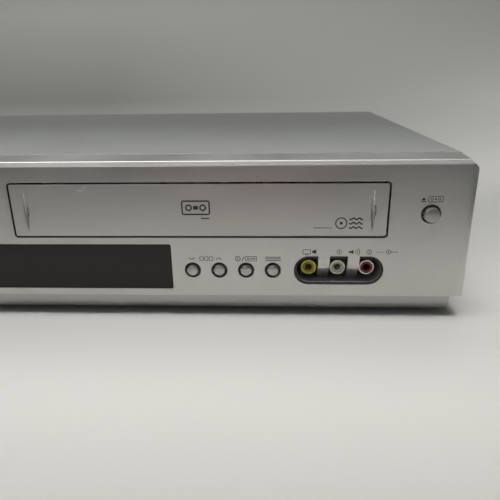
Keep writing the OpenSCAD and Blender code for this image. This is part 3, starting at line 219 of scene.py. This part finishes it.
def board_material():
    """Solder resist over copper: rings of a cell pattern give the traces, small dots the solder."""
    material, tree = blank("green_solder_resist")
    place = add(tree, "ShaderNodeTexCoord")
    cells = add(tree, "ShaderNodeTexVoronoi", {"Vector": (place, "Object"), "Scale": 1 / (7 * MM)},
                distance="CHEBYCHEV", feature="F1")
    bands = add(tree, "ShaderNodeMath", {0: (cells, "Distance"), 1: 26.0}, operation="MULTIPLY")
    waves = add(tree, "ShaderNodeMath", {0: (bands, "Value")}, operation="SINE")
    trace = add(tree, "ShaderNodeValToRGB", {"Fac": (waves, "Value")},
                [(0.55, linear("#1d5a34")), (0.75, linear("#2e7a4a"))])
    pads = add(tree, "ShaderNodeTexVoronoi", {"Vector": (place, "Object"), "Scale": 1 / (4 * MM)},
               feature="F1")
    solder = add(tree, "ShaderNodeValToRGB", {"Fac": (pads, "Distance")},
                 [(0.12, [1.0] * 4), (0.16, [0.0, 0.0, 0.0, 1.0])])
    body = add(tree, "ShaderNodeMix", {0: (solder, "Color"), 6: (trace, "Color"), 7: linear("#b9bbb4")},
               data_type="RGBA")
    relief = add(tree, "ShaderNodeBump",
                 {"Height": (waves, "Value"), "Strength": 0.4, "Distance": 0.03 * MM})
    skin = add(tree, "ShaderNodeBsdfPrincipled",
               {"Base Color": (body, 2), "Roughness": 0.4, "Normal": (relief, "Normal")})
    add(tree, "ShaderNodeOutputMaterial", {"Surface": (skin, "BSDF")})
    return material


board_green = board_material()


# ---- Meshes ----


def build(name, points, faces, material, body="root", smooth=30.0):
    """Object from points in millimetres and face index lists, riding on a body."""
    mesh = bpy.data.meshes.new(name)
    mesh.from_pydata((np.asarray(points) * MM).tolist(), [], [list(map(int, f)) for f in faces])
    mesh.validate()
    made = bpy.data.objects.new(name, mesh)
    bpy.context.scene.collection.objects.link(made)
    mesh.materials.append(material)
    mesh.shade_smooth()
    mesh.set_sharp_from_angle(angle=math.radians(smooth))
    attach(made, body)
    return made


def prism(outline, y0, y1):
    """Closed prism of an (x, z) outline between two depths: side quads and two end faces.

    The outline runs anticlockwise seen from the front, so that the faces point outwards.
    """
    outline = np.asarray(outline, float)
    area = np.sum(outline[:, 0] * np.roll(outline[:, 1], -1) - np.roll(outline[:, 0], -1) * outline[:, 1])
    if area < 0:
        outline = outline[::-1]
    n = len(outline)
    index = np.arange(n)
    front = np.column_stack([outline[:, 0], np.full(n, y0), outline[:, 1]])
    back = np.column_stack([outline[:, 0], np.full(n, y1), outline[:, 1]])
    after = np.roll(index, -1)
    sides = np.column_stack([index, index + n, after + n, after])
    return np.vstack([front, back]), sides.tolist() + [index.tolist(), (index[::-1] + n).tolist()]


def joined(parts):
    """Points and faces of several (points, faces) parts, as one."""
    points, faces, start = [], [], 0
    for p, f in parts:
        points.append(p)
        faces += [[i + start for i in face] for face in f]
        start += len(p)
    return np.vstack(points), faces


def arc(x, z, r, a0, a1, count=24):
    """Points on a circle of radius r from angle a0 to a1, in degrees."""
    a = np.radians(np.linspace(a0, a1, count))
    return np.column_stack([x + r * np.cos(a), z + r * np.sin(a)])


def stroke(path, width, closed=False):
    """Outlines of a line of a given width along a path: its points shifted along their normals.

    A closed path gives two halves, because a ring has no single outline.
    """
    path = np.asarray(path, float)
    if closed:
        half = len(path) // 2
        return stroke(path[: half + 1], width) + stroke(np.vstack([path[half:], path[:1]]), width)
    along = np.gradient(path, axis=0)
    along /= np.linalg.norm(along, axis=1)[:, None]
    normal = np.column_stack([-along[:, 1], along[:, 0]])
    return [np.vstack([path + normal * width / 2, (path - normal * width / 2)[::-1]])]


def bar(x0, z0, x1, z1):
    """Rectangle between two corners."""
    return [np.array([[x0, z0], [x1, z0], [x1, z1], [x0, z1]])]


def ring(x, z, r, width):
    """Circle drawn with a line."""
    return stroke(arc(x, z, r, 0, 360, 33)[:-1], width, True)


def disc(x, z, r):
    """Filled circle."""
    return [arc(x, z, r, 0, 360, 25)[:-1]]


def filled(*points):
    """Filled outline through (x, z) points."""
    return [np.array(points)]


def frame_line(x0, z0, x1, z1, r, width):
    """Rectangle with round corners drawn with a line."""
    path = np.vstack([arc(x1 - r, z1 - r, r, 0, 90, 6), arc(x0 + r, z1 - r, r, 90, 180, 6),
                      arc(x0 + r, z0 + r, r, 180, 270, 6), arc(x1 - r, z0 + r, r, 270, 360, 6)])
    return stroke(path, width, True)


def cassette_mark(x0, z0, x1, z1, width):
    """Generic cassette: a frame, two hubs and the window between them."""
    x, z, h = (x0 + x1) / 2, (z0 + z1) / 2, z1 - z0
    hubs = [o for s in (-1, 1) for o in ring(x + s * (x1 - x0) * 0.26, z, h * 0.2, width)]
    window = bar(x - h * 0.18, z - h * 0.14, x + h * 0.18, z + h * 0.14)
    return frame_line(x0, z0, x1, z1, h * 0.12, width) + hubs + window


def eject_mark(x, z, w):
    """Triangle over a bar."""
    triangle = filled([x - w / 2, z], [x + w / 2, z], [x, z + w * 0.62])
    return triangle + bar(x - w / 2, z - w * 0.34, x + w / 2, z - w * 0.16)


def numeral(x, z, r, number):
    """A plain 1 or 2 in a ring."""
    one = stroke([[x - r * 0.3, z + r * 0.3], [x, z + r * 0.55], [x, z - r * 0.55]], r * 0.22)
    top = arc(x, z + r * 0.22, r * 0.32, 160, -50, 10)
    two = stroke(np.vstack([top, [[x - r * 0.34, z - r * 0.5], [x + r * 0.36, z - r * 0.5]]]), r * 0.2)
    return ring(x, z, r, r * 0.2) + (one if number == 1 else two)


def printed(name, shapes, y, body="root", material=print_ink):
    """Thin print: each outline is a prism that stands just proud of the surface at y."""
    parts = [prism(outline, y - PRINT_T, y - 0.002) for outline in shapes]
    return build(name, *joined(parts), material, body)


# Angle from which an edge counts as sharp, and the widest rounding, which the weights are shares of
SHARP = math.radians(30)
WIDEST = 1.1


def skin_of(node, material, rounding=0.25, body="root", others=(), pick=None):
    """Copy of a node's mesh with doubles merged, flat faces joined and its edges rounded.

    It stands for the node. rounding is the width of the rounding in millimetres, or a function
    that gives it for the middles of the sharp edges. pick gives the number of the material of
    each face from its centre: 0 for the first one, 1 for the first of the others.
    """
    mesh = nodes[node].data.copy()
    mesh.materials.clear()
    for each in (material, *others):
        mesh.materials.append(each)
    tool = bmesh.new()
    tool.from_mesh(mesh)
    bmesh.ops.remove_doubles(tool, verts=tool.verts, dist=0.002 * MM)
    bmesh.ops.dissolve_limit(tool, angle_limit=0.02, verts=tool.verts, edges=tool.edges)
    weight = tool.edges.layers.float.new("bevel_weight_edge")
    sharp = [e for e in tool.edges if len(e.link_faces) == 2 and e.calc_face_angle(0.0) > SHARP]
    middles = np.array([(e.verts[0].co + e.verts[1].co)[:] for e in sharp]) / (2 * MM)
    widths = rounding(middles) if callable(rounding) else np.full(len(sharp), rounding)
    for edge, width in zip(sharp, widths):
        edge[weight] = width / WIDEST
    tool.to_mesh(mesh)
    tool.free()
    count = len(mesh.polygons)
    centres = np.empty(count * 3)
    mesh.polygons.foreach_get("center", centres)
    number = pick(centres.reshape(-1, 3) / MM) if pick else np.zeros(count)
    mesh.polygons.foreach_set("material_index", number.astype(np.int32))
    made = bpy.data.objects.new(node + "_skin", mesh)
    bpy.context.scene.collection.objects.link(made)
    mesh.shade_smooth()
    mesh.set_sharp_from_angle(angle=SHARP)
    edges = made.modifiers.new("edges", "BEVEL")
    edges.width, edges.segments = WIDEST * MM, 3
    edges.limit_method, edges.use_clamp_overlap, edges.material = "WEIGHT", False, 0
    flats = made.modifiers.new("flats", "WEIGHTED_NORMAL")
    flats.keep_sharp = True
    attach(made, body)
    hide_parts(node)
    return made


def lathe_y(profile, x, z, count=48):
    """Surface of revolution about the line (x, z) along Y, from (radius, y) points.

    point(i, a) = (x + r_i cos a, y_i, z + r_i sin a); the profile starts and ends on the axis.
    """
    profile = np.asarray(profile, float)
    a = np.linspace(0, 2 * np.pi, count, endpoint=False)
    inner = profile[1:-1]
    points = np.stack([x + inner[:, :1] * np.cos(a), np.repeat(inner[:, 1:], count, 1),
                       z + inner[:, :1] * np.sin(a)], axis=-1).reshape(-1, 3)
    index = np.arange(len(inner) * count).reshape(len(inner), count)
    after = np.roll(index, -1, axis=1)
    quads = np.stack([index[:-1], after[:-1], after[1:], index[1:]], axis=-1).reshape(-1, 4)
    first, last = len(points), len(points) + 1
    points = np.vstack([points, [[x, profile[0, 1], z], [x, profile[-1, 1], z]]])
    caps = [[first, after[0, i], index[0, i]] for i in range(count)]
    caps += [[last, index[-1, i], after[-1, i]] for i in range(count)]
    return points, quads.tolist() + caps


# ---- Case and doors ----

BUTTONS = ("eject", "standby", "open_close", "stop", "play", "record", "prog_down", "prog_up", "source",
           "scan")
BEZEL_TOP = corners("front_panel")[1][2]
# Height and depth of the chamfer along the top of the face
EDGE_H, EDGE_D = 2.2, 2.5


def bezel_rounding(p):
    """Roundings of the bezel: broad along the top of its chamfer, small round the openings."""
    on_face = np.abs(p[:, 1] - FACE_Y) < 0.05
    below_chamfer = on_face & (np.abs(p[:, 2] - BEZEL_TOP + EDGE_H) < 0.1)
    above_chamfer = (np.abs(p[:, 2] - BEZEL_TOP) < 0.05) & (np.abs(p[:, 1] - FACE_Y - EDGE_D) < 0.1)
    return np.select([above_chamfer, below_chamfer, on_face], [0.5, 0.35, 0.2], 0.0)


def bezel_coat_and_shade(p):
    """Coat of each face of the bezel: 0 is the full coat, and 1 is black inside the openings, painted shade
    that deepens the gaps.

    2 is a darker copy of the coat, painted shade on the skirt and in the holes of the buttons.
    """
    deep = p[:, 1] > FACE_Y + 0.4
    within = (np.abs(p[:, 0]) < 205) & (p[:, 2] > FACE_Z + 0.5) & (p[:, 2] < BEZEL_TOP - 3)
    holes = np.array([middle(name + "_button")[[0, 2]] for name in BUTTONS])
    near_hole = np.linalg.norm(p[:, None, [0, 2]] - holes, axis=2).min(axis=1) < 6.5
    in_wall = (p[:, 1] > FACE_Y + 0.1) & (p[:, 1] < FACE_Y + 2.6)
    # Painted shade: a darker coat on the walls of the button holes and on the skirt, and black deep inside
    # the openings
    thin = (near_hole & in_wall) | (p[:, 2] < FACE_Z - 0.01)
    return np.select([thin, deep & within], [2, 1], 0)


def shaded_plate_sides(node):
    """Test for the sides and back of a door plate, which are black: painted shade that deepens the gaps round
    the plate.
    """
    low, high = corners(node)
    x, z = (low[0] + high[0]) / 2, middle("tray_front")[2]
    half = DOOR_HALF_W if node == "cassette_door" else (high[0] - low[0]) / 2

    def test(p):
        side = (np.abs(p[:, 0] - x) > half - 0.05) | (np.abs(p[:, 2] - z) > PLATE_HALF_H)
        return ((side | (p[:, 1] > FACE_Y + 2)) & (p[:, 1] > FACE_Y + 0.2)).astype(int)

    return test


# Distance between the jacks
PITCH = 15.84


def shell_tint(p):
    """Front shells by their place: 1 on the left, 2 on the right, 0 in the middle and at the rear."""
    front = p[:, 1] < 0
    x = middle("aux_pocket")[0]
    return np.select([front & (p[:, 0] < x - PITCH / 2), front & (p[:, 0] > x + PITCH / 2)], [1, 2], 0)


def pocket_rim(p):
    """Test for the faces of the pocket's front rim, which are black."""
    return (p[:, 1] < FACE_Y + 0.3).astype(int)


# Painted shade: the bezel's skirt and button holes take a darker copy of the coat, and the inside of its
# openings is black
skin_of("front_panel", silver_paint, bezel_rounding, "root", [black_abs, shaded_silver_paint],
        bezel_coat_and_shade)
skin_of("top_cover", cover_paint, 0.3)
# Painted shade: the sides and backs of the door plates are black, deepening the gaps round them
skin_of("cassette_door", silver_paint, 0.15, "door", [black_abs],
        shaded_plate_sides("cassette_door"))
skin_of("tray_front", silver_paint, 0.15, "tray", [black_abs], shaded_plate_sides("tray_front"))
skin_of("display_window", smoked_acrylic, 0.25)
# Painted reflection: the left and right front shells carry the colours of their insulators
skin_of("jack_sleeves", jack_nickel, 0.0, "root", [yellow_shell, red_shell], shell_tint)
skin_of("aux_pocket", smoky_plastic, 0.0, "root", [black_abs], pocket_rim)

# The pocket's box reaches past the hole in the face, because its flange sits behind the panel
pocket_low, pocket_high = corners("aux_pocket")
POCKET_X = middle("aux_pocket")[0]
POCKET_BACK = pocket_high[1] - 1.25
RIB_TOP, RIB_BOTTOM = pocket_high[2] - 1.75, pocket_low[2] + 3.2
# Half the width of a rib, the share of its height that stays flat at the top, and its depth below
RIB_W, RIB_LIP, RIB_FALL = 3.1, 0.1, 9.5


def rib(x):
    """Rib between two jacks: a grid of rows from the bottom up, each closed behind by two points.

    Its front lies just behind the face at the top, over the pocket's rim, and
    9.5 (v - 0.1) ** 1.75 millimetres deeper at v, from 0 at the top to 1 at the bottom.
    Across, it bulges by 0.45 v (1 - u ** 2), u from -1 to 1.
    """
    u, v = np.linspace(-1, 1, 13), np.linspace(1, 0, 17)
    across, down = np.meshgrid(u, v)
    fall = RIB_FALL * np.maximum(down - RIB_LIP, 0) ** 1.75
    y = pocket_low[1] - 0.06 + fall - 0.45 * down * (1 - across**2)
    z = RIB_TOP + (RIB_BOTTOM - RIB_TOP) * down
    front = np.stack([x + RIB_W * across, y, z], axis=-1)
    back = front[:, [-1, 0]]
    back[:, :, 1] = POCKET_BACK
    rows = np.concatenate([front, back], axis=1)
    n = rows.shape[1]
    index = np.arange(n)
    after = np.roll(index, -1)
    row_sides = np.column_stack([index, after, after + n, index + n])
    sides = (row_sides + n * np.arange(len(v) - 1)[:, None, None]).reshape(-1, 4)
    last = n * (len(v) - 1)
    return rows.reshape(-1, 3), sides.tolist() + [index[::-1].tolist(), (index + last).tolist()]


ribs = build("pocket_ribs", *joined([rib(POCKET_X + k * PITCH / 2) for k in (-1, 1)]), silver_paint)


# Radius of the small and of the large caps
CAP_R = (3.05, 4.0)


def push_button(node, body):
    """Cap with a rounded rim and a slight dome, a grey flange behind the panel and a stem.

    The rim is a quarter ellipse and the dome a parabola y = top + d (r / R) ** 2.
    """
    low, high = corners(node)
    x, _, z = middle(node)
    r = CAP_R[0] if high[0] - low[0] < 11.2 else CAP_R[1]
    rim_r, rim, dome = 1.2, 0.75, 0.16
    top = low[1]
    flange_y, flange_t = FACE_Y + 2.8, 1.0
    face_r = np.linspace(0, r - rim_r, 8)
    turn = np.radians(np.linspace(82, 0, 10))
    crown = [(v, top + dome * (v / (r - rim_r)) ** 2) for v in face_r]
    edge = [(r - rim_r + rim_r * math.cos(t), top + dome + rim - rim * math.sin(t)) for t in turn]
    cap = lathe_y(crown + edge + [(r, flange_y - 0.1), (0, flange_y - 0.1)], x, z)
    flange_r = (high[0] - low[0]) / 2
    behind = [(0, flange_y), (flange_r, flange_y), (flange_r, flange_y + flange_t),
              (1.5, flange_y + flange_t), (1.5, high[1]), (0, high[1])]
    made = build(node + "_cap", *cap, cap_paint, body, 40)
    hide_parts(node)
    back = build(node + "_flange", *lathe_y(behind, x, z, 32), grey_abs, body)
    return x, z


centre = {name: push_button(name + "_button", name + "_button") for name in BUTTONS}

# ---- Print on the face ----

jacks = [POCKET_X + k * PITCH for k in (-1, 0, 1)]
# Heights of the marks over the buttons and over the jacks, and the width of most lines
LABEL_Z = centre["prog_up"][1] + 6.7
JACK_LABEL_Z = centre["prog_up"][1] + 10.7
LINE = 0.42


def chevron(x, z, w, up):
    """Two strokes that meet in a point."""
    h = w * 0.28 * (1 if up else -1)
    return stroke([[x - w / 2, z - h / 2], [x, z + h / 2], [x + w / 2, z - h / 2]], LINE)


def face_marks():
    """Print of the bezel: marks over the buttons and jacks."""
    marks = []
    ex, ez = centre["eject"]
    marks += eject_mark(ex - 4.5, ez + 7.4, 2.6)
    marks += cassette_mark(ex - 2.0, ez + 6.6, ex + 5.3, ez + 9.4, 0.3)
    x0, x1 = centre["prog_down"][0], centre["prog_up"][0]
    marks += chevron(x0 - 0.3, LABEL_Z, 3.2, False) + chevron(x1 - 0.1, LABEL_Z, 3.2, True)
    for k in range(3):
        x = (x0 + x1) / 2 - 3.2 + k * 2.6
        marks += frame_line(x, LABEL_Z - 1.05, x + 1.9, LABEL_Z + 1.05, 0.35, 0.3)
    x = centre["source"][0]
    marks += ring(x - 4.4, LABEL_Z, 1.3, LINE) + disc(x - 4.4, LABEL_Z, 0.4)
    marks += stroke([[x - 2.2, LABEL_Z - 1.3], [x - 0.9, LABEL_Z + 1.3]], LINE)
    marks += cassette_mark(x - 0.2, LABEL_Z - 1.25, x + 5.8, LABEL_Z + 1.25, 0.3)
    x = centre["scan"][0]
    for k in (-1, 0, 1):
        marks += bar(x - 4.2, LABEL_Z - 0.2 + k * 0.95, x + 4.2, LABEL_Z + 0.2 + k * 0.95)
    x, z = jacks[0], JACK_LABEL_Z
    marks += frame_line(x - 3.6, z - 1.1, x + 0.6, z + 1.3, 0.5, 0.32)
    marks += bar(x - 2.4, z - 1.7, x - 0.6, z - 1.4)
    marks += filled([x + 1.4, z - 0.5], [x + 3.6, z - 1.1], [x + 3.6, z + 1.3], [x + 1.4, z + 0.7])
    marks += numeral(jacks[1], z, 1.3, 1) + numeral(jacks[2], z, 1.3, 2)
    x = (jacks[1] + jacks[2]) / 2
    marks += bar(x - 2.9, z - 0.5, x - 1.6, z + 0.5)
    marks += filled([x - 1.6, z - 0.5], [x - 0.4, z - 1.25], [x - 0.4, z + 1.25], [x - 1.6, z + 0.5])
    for r in (1.4, 2.4, 3.4):
        marks += stroke(arc(x - 0.6, z, r, -38, 38, 9), 0.3)
    x = jacks[2]
    marks += bar(x + 3.4, z - 0.12, x + 7.6, z + 0.12)
    marks += ring(x + 10.2, z, 1.15, 0.32) + disc(x + 10.2, z, 0.38)
    marks += bar(x + 11.6, z - 0.16, x + 15.2, z + 0.16)
    x, z = centre["standby"]
    marks += stroke(arc(x, z + 8.2, 1.4, 125, 415, 22), LINE) + bar(x - 0.17, z + 8.3, x + 0.17, z + 10.2)
    x, z = centre["open_close"]
    marks += eject_mark(x, z + 7.4, 2.8)
    x = centre["play"][0]
    marks += filled([x - 1.0, LABEL_Z - 1.2], [x + 1.3, LABEL_Z], [x - 1.0, LABEL_Z + 1.2])
    x = centre["stop"][0]
    marks += bar(x - 1.05, LABEL_Z - 1.05, x + 1.05, LABEL_Z + 1.05)
    marks += disc(centre["record"][0], LABEL_Z, 1.15)
    return marks


def door_marks():
    """Print of the cassette door: a plain cassette mark, and a ring with three waves."""
    marks = cassette_mark(DOOR_X - 7.8, FACE_Z + 46.8, DOOR_X + 6.6, FACE_Z + 54.0, 0.8)
    marks += bar(DOOR_X + 2.0, FACE_Z + 44.3, DOOR_X + 6.4, FACE_Z + 44.9)
    x, z = DOOR_X + 75.8, FACE_Z + 41.9
    marks += ring(x, z, 2.9, 0.6) + disc(x, z, 0.8)
    for k in range(3):
        wave_x = np.linspace(x + 4.2, x + 11.2, 15)
        wave_z = z - 2.4 + k * 2.4 + 0.5 * np.sin((wave_x - x) * 2.2)
        marks += stroke(np.column_stack([wave_x, wave_z]), 0.75)
    marks += bar(x - 14.6, z - 2.75, x - 4.6, z - 2.4)
    return marks


def door_scuff():
    """Two short rubbed streaks in the paint, near the top left of the cassette door."""
    z = FACE_Z + 59.8
    low = stroke([[7.4, z], [9.0, z + 0.1], [10.5, z - 0.1]], 0.5)
    return low + stroke([[10.2, z + 1.3], [11.2, z + 1.6], [12.2, z + 1.3]], 0.45)


def drawer_marks():
    """Print of the drawer front: a plain disc mark."""
    x, _, z = middle("tray_front")
    return ring(x, z, 3.6, 0.55) + ring(x, z, 1.3, 0.4) + bar(x + 5.0, z - 0.2, x + 11.0, z + 0.2)


printed("face_print", face_marks(), FACE_Y)
printed("door_print", door_marks(), FACE_Y, "door")
printed("door_scuff", door_scuff(), FACE_Y, "door", rubbed_paint)
printed("drawer_print", drawer_marks(), FACE_Y, "tray")

# ---- Finishes of the other nodes ----

FINISHES = {
    zinc_steel: ("bottom_chassis", "rear_panel", "clamp_bridge", "deck_chassis", "carriage_sides",
                 "carriage_slider", "cassette_holder", "tuner_module"),
    bright_steel: ("cover_screws", "door_spring", "loading_motor", "sled_drive", "lead_screw", "capstan",
                   "pinch_arm", "supply_guide", "takeup_guide"),
    drum_alloy: ("lower_drum", "upper_drum", "optical_pickup"),
    black_rubber: ("feet", "loading_belt", "pinch_roller"),
    black_abs: ("loader_frame", "disc_tray", "clamper", "traverse", "turntable", "supply_reel", "takeup_reel",
                "rear_sockets", "mains_inlet"),
    acetal: ("tray_gear", "motor_pulley"),
    ribbon_grey: ("ribbon_cables",),
    copper_brown: ("capstan_motor", "tape_heads"),
    board_green: ("front_boards", "main_board", "power_board"),
    yellow_core: ("yellow_cores",),
    white_core: ("white_cores",),
    red_core: ("red_cores",),
}
for material, names in FINISHES.items():
    for name in names:
        nodes[name].data.materials.clear()
        nodes[name].data.materials.append(material)

# ---- Floor, light and camera ----

# In metres: half the floor's width, where it turns up, the radius of the turn and the wall's height
FLOOR_HALF, RISE_Y, RISE_R, WALL_H = 2.2, 0.3, 0.4, 1.0


def sweep():
    """Pale floor that turns up into a wall: a straight run, a quarter circle and a straight rise. Its colour
    holds painted shade low on the wall at the left and painted light there on the right.
    """
    turn = np.linspace(0, np.pi / 2, 25)
    profile = np.vstack([
        [[-FLOOR_HALF, 0.0]],
        np.column_stack([RISE_Y + RISE_R * np.sin(turn), RISE_R * (1 - np.cos(turn))]),
        [[RISE_Y + RISE_R, WALL_H]],
    ])
    x = np.array([-FLOOR_HALF, FLOOR_HALF])
    points = np.stack([np.repeat(x[None, :], len(profile), 0), np.repeat(profile[:, :1], 2, 1),
                       np.repeat(profile[:, 1:], 2, 1)], axis=-1).reshape(-1, 3)
    faces = [[2 * i, 2 * i + 1, 2 * i + 3, 2 * i + 2] for i in range(len(profile) - 1)]
    mesh = bpy.data.meshes.new("floor")
    mesh.from_pydata(points.tolist(), [], faces)
    mesh.shade_smooth()
    made = bpy.data.objects.new("floor", mesh)
    bpy.context.scene.collection.objects.link(made)
    paper, tree = blank("studio_paper")
    place = add(tree, "ShaderNodeTexCoord")
    height = add(tree, "ShaderNodeSeparateXYZ", {"Vector": (place, "Object")})
    # Painted shade and light: the paper darkens low on the wall at the left, where the case's shadow falls,
    # and brightens there on the right
    left = add(tree, "ShaderNodeValToRGB", {"Fac": (height, "Z")},
               [(0.0, linear("#c3c2bd")), (0.08, linear("#8f8f8b")), (0.24, linear("#bcbcb8")),
                (0.5, linear("#a8a8a4"))])
    right = add(tree, "ShaderNodeValToRGB", {"Fac": (height, "Z")},
                [(0.0, linear("#bcbbb6")), (0.08, linear("#d6d6d1")), (0.24, linear("#c8c8c4")),
                 (0.5, linear("#a8a8a4"))])
    across = add(tree, "ShaderNodeMapRange", {"Value": (height, "X"), "From Min": -0.2, "From Max": 0.6})
    tone = add(tree, "ShaderNodeMix", {0: (across, "Result"), 6: (left, "Color"), 7: (right, "Color")},
               data_type="RGBA")
    # Painted reflection: gloss rays see the paper darkened above the seen strip of the wall, as if a darker
    # room stood there
    room = add(tree, "ShaderNodeValToRGB", {"Fac": (height, "Z")},
               [(0.18, [1.0] * 4), (0.28, [0.05, 0.05, 0.05, 1.0])])
    ray = add(tree, "ShaderNodeLightPath")
    shaded = add(tree, "ShaderNodeMix", {0: (ray, "Is Glossy Ray"), 6: (tone, 2), 7: (room, "Color")},
                 data_type="RGBA", blend_type="MULTIPLY")
    skin = add(tree, "ShaderNodeBsdfPrincipled", {"Base Color": (shaded, 2), "Roughness": 0.8,
                                                  "Specular IOR Level": 0.2})
    add(tree, "ShaderNodeOutputMaterial", {"Surface": (skin, "BSDF")})
    mesh.materials.append(paper)


def flag(name, x0, y0, x1, y1, height, hex_colour):
    """Card upright on the floor, a painted reflection: gloss shows it, the camera and the shadows don't."""
    mesh = bpy.data.meshes.new(name)
    mesh.from_pydata([(x0, y0, 0), (x1, y1, 0), (x1, y1, height), (x0, y0, height)], [], [(0, 1, 2, 3)])
    card = bpy.data.materials.new(name)
    card.use_nodes = True
    skin = card.node_tree.nodes["Principled BSDF"]
    skin.inputs["Base Color"].default_value = linear(hex_colour)
    skin.inputs["Roughness"].default_value = 0.9
    mesh.materials.append(card)
    made = bpy.data.objects.new(name, mesh)
    made.visible_camera = made.visible_shadow = made.visible_diffuse = False
    bpy.context.scene.collection.objects.link(made)


def lamp(name, place, target, width, height, power, spread=180, mirrored=True, matt=True):
    """Rectangular soft light at a place, aimed at a target.

    spread is the angle that its grid lets through; mirrored says if gloss shows it, and matt
    if it lights matt surfaces.
    """
    data = bpy.data.lights.new(name, "AREA")
    data.shape, data.size, data.size_y, data.energy = "RECTANGLE", width, height, power
    data.spread = math.radians(spread)
    made = bpy.data.objects.new(name, data)
    made.location = place
    made.rotation_euler = (Vector(target) - Vector(place)).to_track_quat("-Z", "Y").to_euler()
    made.visible_camera, made.visible_glossy, made.visible_diffuse = False, mirrored, matt
    bpy.context.scene.collection.objects.link(made)


def world():
    """Soft room light that is bright overhead and behind, and dim in front near the floor.

    The level follows the direction's share along (-0.1, 0.79, 0.6).
    """
    made = bpy.data.worlds.new("room")
    bpy.context.scene.world = made
    made.use_nodes = True
    tree = made.node_tree
    tree.nodes.clear()
    place = add(tree, "ShaderNodeTexCoord")
    share = add(tree, "ShaderNodeVectorMath", {0: (place, "Generated"), 1: (-0.1, 0.79, 0.6)},
                operation="DOT_PRODUCT")
    level = add(tree, "ShaderNodeMapRange", {"Value": (share, "Value"), "From Min": 0.1, "From Max": 0.95,
                                             "To Min": 0.16, "To Max": 0.48})
    glow = add(tree, "ShaderNodeBackground", {"Color": linear("#f6f6f4"), "Strength": (level, "Result")})
    seen = add(tree, "ShaderNodeBackground", {"Color": linear("#6f706b"), "Strength": 1.0})
    ray = add(tree, "ShaderNodeLightPath")
    both = add(tree, "ShaderNodeMixShader", {0: (ray, "Is Camera Ray"), 1: (glow, "Background"),
                                             2: (seen, "Background")})
    add(tree, "ShaderNodeOutputWorld", {"Surface": (both, "Shader")})


# Width of the sensor in millimetres, and the focal length as a share of it
SENSOR, FOCAL = 36, 498.6 / 500


def camera():
    """Camera from the fitted view: place, then pitch down, yaw to the left and a slight roll."""
    place = Vector((0.1103, -0.4054, 0.1182 + FACE_Z * MM))
    yaw, pitch, roll = map(math.radians, (2.81, 19.87, -0.85))
    ahead = Vector((-math.sin(yaw) * math.cos(pitch), math.cos(yaw) * math.cos(pitch), -math.sin(pitch)))
    right = Vector((math.cos(yaw), math.sin(yaw), 0))
    up = right.cross(ahead)
    turned_right = math.cos(roll) * right + math.sin(roll) * up
    turned_up = math.cos(roll) * up - math.sin(roll) * right
    data = bpy.data.cameras.new("camera")
    data.sensor_width, data.lens = SENSOR, SENSOR * FOCAL
    data.clip_start, data.clip_end = 0.01, 20
    # Small aperture: the far edge of the cover goes slightly soft
    data.dof.use_dof, data.dof.focus_distance, data.dof.aperture_fstop = True, 0.28, 16
    made = bpy.data.objects.new("camera", data)
    axes = Matrix((turned_right, turned_up, -ahead)).transposed().to_4x4()
    made.matrix_world = Matrix.Translation(place) @ axes
    bpy.context.scene.collection.objects.link(made)
    bpy.context.scene.camera = made


sweep()
# Painted reflections: cards that only gloss shows, dark ones in front and at the right, and a red one that
# tints the face warm
flag("black_card", -0.4, -0.52, 1.0, -0.52, 0.18, "#2a2a2a")
flag("red_card", 0.0, -0.515, 0.17, -0.515, 0.17, "#8a2428")
flag("side_card", 0.42, -0.4, 0.42, 0.1, 0.04, "#2a2a2a")
world()
lamp("near_floor", (0.09, -0.18, 0.5), (0.09, -0.18, 0.0), 0.6, 0.12, 0.5, 60, False)
lamp("side_floor", (0.6, 0.3, 0.6), (0.5, 0.22, 0.0), 0.3, 0.4, 0.32, 60, False)
lamp("above", (-0.1, 0.5, 1.0), (0.0, 0.2, 0.0), 1.5, 0.6, 8.2)
lamp("front_card", (-0.3, -0.95, 0.8), (0.0, -0.15, 0.05), 0.7, 0.4, 1.45, matt=False)
camera()
bpy.context.scene.view_settings.view_transform = "Standard"
